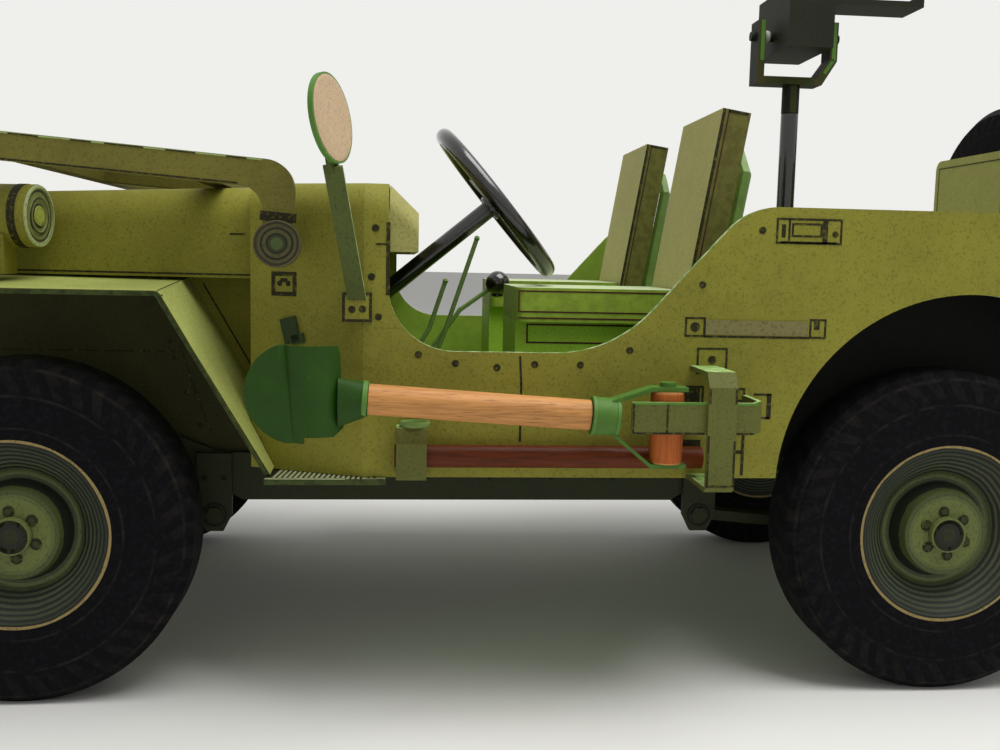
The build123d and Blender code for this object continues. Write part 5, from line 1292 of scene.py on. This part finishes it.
# The seats' sides, and the bench's front, rear and top
SEAT_OUTER, SEAT_INNER = 22.0, 8.2
SEAT_BOX_IN = 0.8
BENCH_FRONT_X, BENCH_REAR_X = -59.8, -62.4
BENCH_TOP = 34.2
CUSHION_MARKS = each("box", (-9.5, 34.75, 15.2, 2.0)) + each("bar", (-2.0, 33.25, -17.0, 33.25))
SEAT_BOX_MARKS = each("box", (-9.5, 31.8, 13.4, 1.8))
BENCH_BACK_MARKS = each("box", (0, 43.2, 29.4, 16.2)) + each("bar", (0, 35.4, 0, 51.0))
BENCH_TOP_MARKS = each("box", (-53.4, 0, 11.0, 29.4)) + each("bar", (-58.6, 0, -48.2, 0))


class CARDCAR_OT_seat_print(CardCarOperator, bpy.types.Operator):
    """Prints borders, seams and folds on the seats"""
    bl_idname = "cardcar.seat_print"
    bl_label = "Seat print"

    def execute(self, context):
        run = Vector(BACK_LOW) - Vector(BACK_TOP)
        behind = Vector((run.y, -run.x)).normalized()
        down = Vector((run.x, 0, run.y)).normalized()
        front = Vector((-down.z, 0, down.x))
        for side, word in SIDES:
            cushion = side_face(side * SEAT_OUTER, side)
            print_on("cushion_side_print_" + word, CUSHION_MARKS, cushion, "seam_ink", line=0.14)
            box = side_face(side * (SEAT_OUTER - SEAT_BOX_IN), side)
            print_on("seat_box_print_" + word, SEAT_BOX_MARKS, box, "seam_ink")
            # A seam runs down each back's side, a little behind its front edge
            for name, deep, line, finish in (("edge", 0.16, 0.26, "ink"), ("seam", 0.6, 0.12, "seam_ink")):
                top = Vector(BACK_TOP) + deep * behind + 0.01 * run
                low = Vector(BACK_LOW) + deep * behind - 0.01 * run
                marks = [("bar", *top, *low)]
                if name == "edge":
                    marks.append(("bar", top.x - 0.5, top.y - 0.08, top.x - 2.1, top.y - 0.3))
                for y, way in ((SEAT_OUTER, side), (SEAT_INNER, -side)):
                    print_on("seat_back_%s_%s_%d" % (name, word, y), marks, side_face(side * y, way), finish,
                             line=line)
            marks = [("box", run.length / 2, side * 15.1, run.length - 1.0, 12.7)]
            rear = at(BACK_TOP[0], 0, BACK_TOP[1]) - front * BACK_T * MM, down, (0, 1, 0), -front
            print_on("seat_back_rear_print_" + word, marks, rear, "soft_ink")
        print_on("bench_back_print", BENCH_BACK_MARKS, end_face(BENCH_FRONT_X), "soft_ink")
        print_on("bench_back_rear_print", BENCH_BACK_MARKS, end_face(BENCH_REAR_X, -1), "soft_ink")
        print_on("bench_top_print", BENCH_TOP_MARKS, top_face(BENCH_TOP), "soft_ink")
        return {"FINISHED"}


# The dashboard's face, the floors' tops and the wheel boxes' tops
DASH_X = 7.2
FLOOR_TOP, LOAD_FLOOR_TOP, WHEEL_BOX_TOP = 20.5, 25.0, 37.6
RIB_PITCH = 3.4
DIALS = [(0.0, 40.6, 1.15), (3.2, 40.8, 0.75), (-3.2, 40.8, 0.75), (5.4, 40.6, 0.75), (-5.4, 40.6, 0.75)]


class CARDCAR_OT_dash_print(CardCarOperator, bpy.types.Operator):
    """Prints plain dials and knobs on the dashboard and ribs on the floor"""
    bl_idname = "cardcar.dash_print"
    bl_label = "Dashboard print"

    def execute(self, context):
        marks = each("ring", *DIALS) + [("dot", y, z, r * 0.55) for y, z, r in DIALS]
        marks += [("dot", y, 39.7, 0.22) for y in (-9.0, -7.6, 7.6, 9.0, 18.0, 19.6)]
        marks += each("box", (-18.0, 40.6, 11.0, 2.6)) + dots(0.3, (-18.0, 41.4))
        print_on("dashboard_print", marks, end_face(DASH_X, -1))
        marks = [("bar", x, y0, x, y1) for x in range(-16, 15, 6) for y0, y1 in ((-27, -5), (5, 27))]
        print_on("floor_print", marks, top_face(FLOOR_TOP), "soft_ink")
        marks = [("bar", -24, i * RIB_PITCH, -63, i * RIB_PITCH) for i in range(-5, 6)]
        print_on("load_floor_print", marks, top_face(LOAD_FLOOR_TOP), "soft_ink")
        for side, word in SIDES:
            marks = each("bar", (-23.6, side * 24.5, -58.8, side * 24.5))
            marks += [("dot", x, side * 27.2, 0.25) for x in range(-25, -56, -6)]
            print_on("wheel_box_print_" + word, marks, top_face(WHEEL_BOX_TOP), "soft_ink")
        return {"FINISHED"}


# The can: x and y of its middle, half its width, and its rear face
CAN_X, CAN_Y = -67.8, 15.0
CAN_HALF = 6.8
CAN_REAR_X = REAR_X - 0.4 - 5.8
BUMPERETTE_X = -66.0


class CARDCAR_OT_back_print(CardCarOperator, bpy.types.Operator):
    """Prints the back panel, the bumperettes and the can's pressed lines, and adds the can's cap"""
    bl_idname = "cardcar.back_print"
    bl_label = "Back and can"

    def execute(self, context):
        marks = each("box", (0, 31.6, 56.6, 22.0), (-24.0, 33.0, 4.6, 2.2), (25.2, 33.0, 3.6, 2.2))
        marks += each("bar", (-19.5, 21.0, -19.5, 42.4), (19.5, 21.0, 19.5, 42.4))
        marks += [("dot", y, z, 0.35) for y in (-27.2, 27.2) for z in (23, 29, 35, 41)]
        print_on("back_print", marks, end_face(REAR_X, -1))
        # The can's pressed cross and frame
        marks = each("box", (CAN_Y, 33.0, 10.4, 13.4))
        marks += each("bar", (10.6, 27.2, 19.4, 38.8), (10.6, 38.8, 19.4, 27.2))
        print_on("can_rear_print", marks, end_face(CAN_REAR_X, -1), line=0.4, proud=0.05)
        for side, word in SIDES:
            print_on("can_side_print_" + word, each("box", (CAN_X, 33.0, 3.6, 13.4)),
                     side_face(CAN_Y + side * CAN_HALF, side), line=0.3, proud=0.05)
        turned("can_cap", [(0, 1.25), (0.5, 1.25), (0.62, 1.1), (0.62, 0.6)], top_face(41.75, CAN_X, 19.6),
               "body_card", sides=32)
        marks = each("box", (-20.0, 18.0, 10.2, 3.0), (20.0, 18.0, 10.2, 3.0))
        print_on("bumperette_print", marks, end_face(BUMPERETTE_X, -1))
        return {"FINISHED"}


# The pedestal: x of its post, the top of its foot and the foot's bolts; the cradle's pin, x and z
POST_X = -34.3
POST_FOOT_TOP = 25.6
FOOT_BOLT_CIRCLE = 2.3
PIN_END = (-30.95, 63.6)
YOKE_MARKS = (
    each("fill", (-30.4, 63.0, 0.42, 4.3), (-38.5, 63.1, 0.42, 4.1)) + each("bar", (-38.4, 61.0, -37.6, 59.8))
)


class CARDCAR_OT_pedestal(CardCarOperator, bpy.types.Operator):
    """Adds the foot's bolts, the yoke's painted edges and a white bead on the empty cradle's pin, its white
    partly a painted glint
    """
    bl_idname = "cardcar.pedestal"
    bl_label = "Pedestal"

    def execute(self, context):
        # A white bead on the pin; its white is partly a painted glint
        turned("pin_bead", [(0, 0.54), (0.12, 0.66), (0.3, 0.7), (0.48, 0.66), (0.6, 0.54)],
               end_face(PIN_END[0], -1, 0, PIN_END[1]), "bead", "tilting_cradle", smooth=50, sides=28)
        turns = [math.radians(60 * i) for i in range(6)]
        bolts = [(POST_X + FOOT_BOLT_CIRCLE * math.cos(a), FOOT_BOLT_CIRCLE * math.sin(a)) for a in turns]
        print_on("post_foot_bolts", dots(0.3, *bolts), top_face(POST_FOOT_TOP), proud=0.2)
        # Green paint on the cut edges of the yoke's uprights
        for side, word in SIDES:
            edges = print_on("yoke_edges_" + word, YOKE_MARKS, side_face(side * YOKE_HALF, side),
                             "edge_paint", "turning_yoke", line=0.36, proud=0.04)
        return {"FINISHED"}


# The outer faces of the frame's rails and of the spring hangers
RAIL_Y = 17.5
HANGER_Y = RAIL_Y + 0.6


class CARDCAR_OT_underside(CardCarOperator, bpy.types.Operator):
    """Prints rivets on the frame's rails and bolts on the spring hangers"""
    bl_idname = "cardcar.underside"
    bl_label = "Underside print"

    def execute(self, context):
        for side, word in SIDES:
            marks = []
            for x in (25.85, 55.45, -20.55, -60.75):
                marks += each("ring", (x, 14.1, 1.15)) + dots(0.25, (x - 0.9, 17.6), (x + 0.9, 17.6))
            print_on("hanger_print_" + word, marks, side_face(side * HANGER_Y, side), "black_ink", proud=0.05)
            marks = [("dot", x, 17.6, 0.22) for x in range(-12, 19, 6)]
            print_on("rail_print_" + word, marks, side_face(side * RAIL_Y, side), "black_ink")
        return {"FINISHED"}


# The photograph's camera, off the drawing's zero
CAMERA_AT = (8.21, 116.31, 38.39)
CAMERA_YAW = -5.22
CAMERA_DOWN = 6.25
CAMERA_ROLL = 1.26
CAMERA_FOCAL_PX = 1047.1
PHOTO_WIDTH_PX = 1000
SENSOR_MM = 36.0
# The soft light over the car and what it is aimed at, off the drawing's zero, and its size in metres
KEY_AT = (-75, 62, 285)
KEY_AIM = (0, 0, 25)
KEY_SIZE = 0.2
FLOOR_SIZE = 6


class CARDCAR_OT_stage(CardCarOperator, bpy.types.Operator):
    """Lays the floor, sets the light and aims the camera"""
    bl_idname = "cardcar.stage"
    bl_label = "Stage"

    def execute(self, context):
        scene = context.scene
        settings = scene.card_car_stage
        object_mode()
        bpy.ops.mesh.primitive_plane_add(size=FLOOR_SIZE, location=(0, 0, 0))
        floor = context.object
        floor.name = "floor"
        material, tree, shader, vector = blank("matt_floor_paper", Roughness=0.9)
        grain = noise(tree, vector, 0.4, 3.0, 0.3, 0.7)
        tone = list(settings.floor)
        tree.links.new(veil(tree, grain, 0.1, tone, shade_of(tone, 0.96)), shader.inputs["Base Color"])
        floor.data.materials.append(material)
        world = scene.world or bpy.data.worlds.new("world")
        scene.world = world
        world.use_nodes = True
        tree = world.node_tree
        tree.nodes.clear()
        rays = add_node(tree, "ShaderNodeLightPath")
        seen = 0.0
        for kind in ("Camera", "Glossy", "Transmission"):
            seen = maths(tree, "MAXIMUM", seen, rays.outputs["Is %s Ray" % kind])
        soft, plain = (
            add_node(tree, "ShaderNodeBackground", inputs={"Color": colour, "Strength": strength}).outputs[0]
            for colour, strength in (((1, 1, 1, 1), settings.fill), (linear("#EFEFEC"), 1.0))
        )
        both = add_node(tree, "ShaderNodeMixShader", inputs={0: seen, 1: soft, 2: plain})
        add_node(tree, "ShaderNodeOutputWorld", inputs={"Surface": both.outputs[0]})
        scene.view_settings.view_transform = "Standard"
        key_data = bpy.data.lights.new("key", "AREA")
        key_data.energy = settings.key
        key_data.size = KEY_SIZE
        key = bpy.data.objects.new("key", key_data)
        key.location = at(*KEY_AT)
        key.rotation_euler = (at(*KEY_AIM) - key.location).to_track_quat("-Z", "Y").to_euler()
        scene.collection.objects.link(key)
        camera_data = bpy.data.cameras.new("camera")
        camera_data.sensor_width = SENSOR_MM
        camera_data.lens = CAMERA_FOCAL_PX / PHOTO_WIDTH_PX * SENSOR_MM
        camera_data.clip_start = 0.005
        camera = bpy.data.objects.new("camera", camera_data)
        scene.collection.objects.link(camera)
        yaw, down, roll = (math.radians(a) for a in (CAMERA_YAW, CAMERA_DOWN, CAMERA_ROLL))
        right = Vector((-math.cos(yaw), -math.sin(yaw), 0))
        up = Vector((0, 0, 1))
        forward = Vector((math.sin(yaw), -math.cos(yaw), 0))
        ahead = math.cos(down) * forward - math.sin(down) * up
        over = math.cos(down) * up + math.sin(down) * forward
        right_rolled = math.cos(roll) * right + math.sin(roll) * over
        over_rolled = math.cos(roll) * over - math.sin(roll) * right
        turn = Matrix((right_rolled, over_rolled, -ahead)).transposed()
        camera.matrix_world = Matrix.Translation(at(*CAMERA_AT)) @ turn.to_4x4()
        scene.camera = camera
        return {"FINISHED"}


PIECE_OPERATORS = [
    CARDCAR_OT_finishes, CARDCAR_OT_side_print, CARDCAR_OT_fender_print, CARDCAR_OT_step_print,
    CARDCAR_OT_bonnet_print, CARDCAR_OT_windscreen, CARDCAR_OT_wheel_centres, CARDCAR_OT_steering,
    CARDCAR_OT_mirror, CARDCAR_OT_lamps, CARDCAR_OT_grille_print, CARDCAR_OT_tools, CARDCAR_OT_seat_print,
    CARDCAR_OT_dash_print, CARDCAR_OT_back_print, CARDCAR_OT_pedestal, CARDCAR_OT_underside, CARDCAR_OT_stage,
]


class CARDCAR_PT_panel(bpy.types.Panel):
    """Lists the sizes, the colours and the pieces"""
    bl_idname = "CARDCAR_PT_panel"
    bl_label = "Card Model Car"
    bl_space_type = "VIEW_3D"
    bl_region_type = "UI"
    bl_category = "Card Car"

    def draw(self, context):
        for name, kind in GROUPS:
            column = self.layout.column(align=True)
            for key in kind.__annotations__:
                column.prop(getattr(context.scene, name), key)
        for operator in PIECE_OPERATORS:
            self.layout.operator(operator.bl_idname)


GROUPS = [
    # name on the scene, group
    ("card_car_colours", CardCarColours),
    ("card_car_sizes", CardCarSizes),
    ("card_car_stage", CardCarStage),
]


def register():
    for name, group in GROUPS:
        bpy.utils.register_class(group)
        setattr(bpy.types.Scene, name, PointerProperty(type=group))
    for operator in PIECE_OPERATORS:
        bpy.utils.register_class(operator)
    bpy.utils.register_class(CARDCAR_PT_panel)


def unregister():
    bpy.utils.unregister_class(CARDCAR_PT_panel)
    for operator in reversed(PIECE_OPERATORS):
        bpy.utils.unregister_class(operator)
    for name, group in reversed(GROUPS):
        delattr(bpy.types.Scene, name)
        bpy.utils.unregister_class(group)


def main():
    """Makes every piece in order."""
    register()
    for operator in PIECE_OPERATORS:
        getattr(bpy.ops.cardcar, operator.bl_idname.split(".")[1])()
    object_mode()
    bpy.context.view_layer.update()


if __name__ == "__main__":
    main()
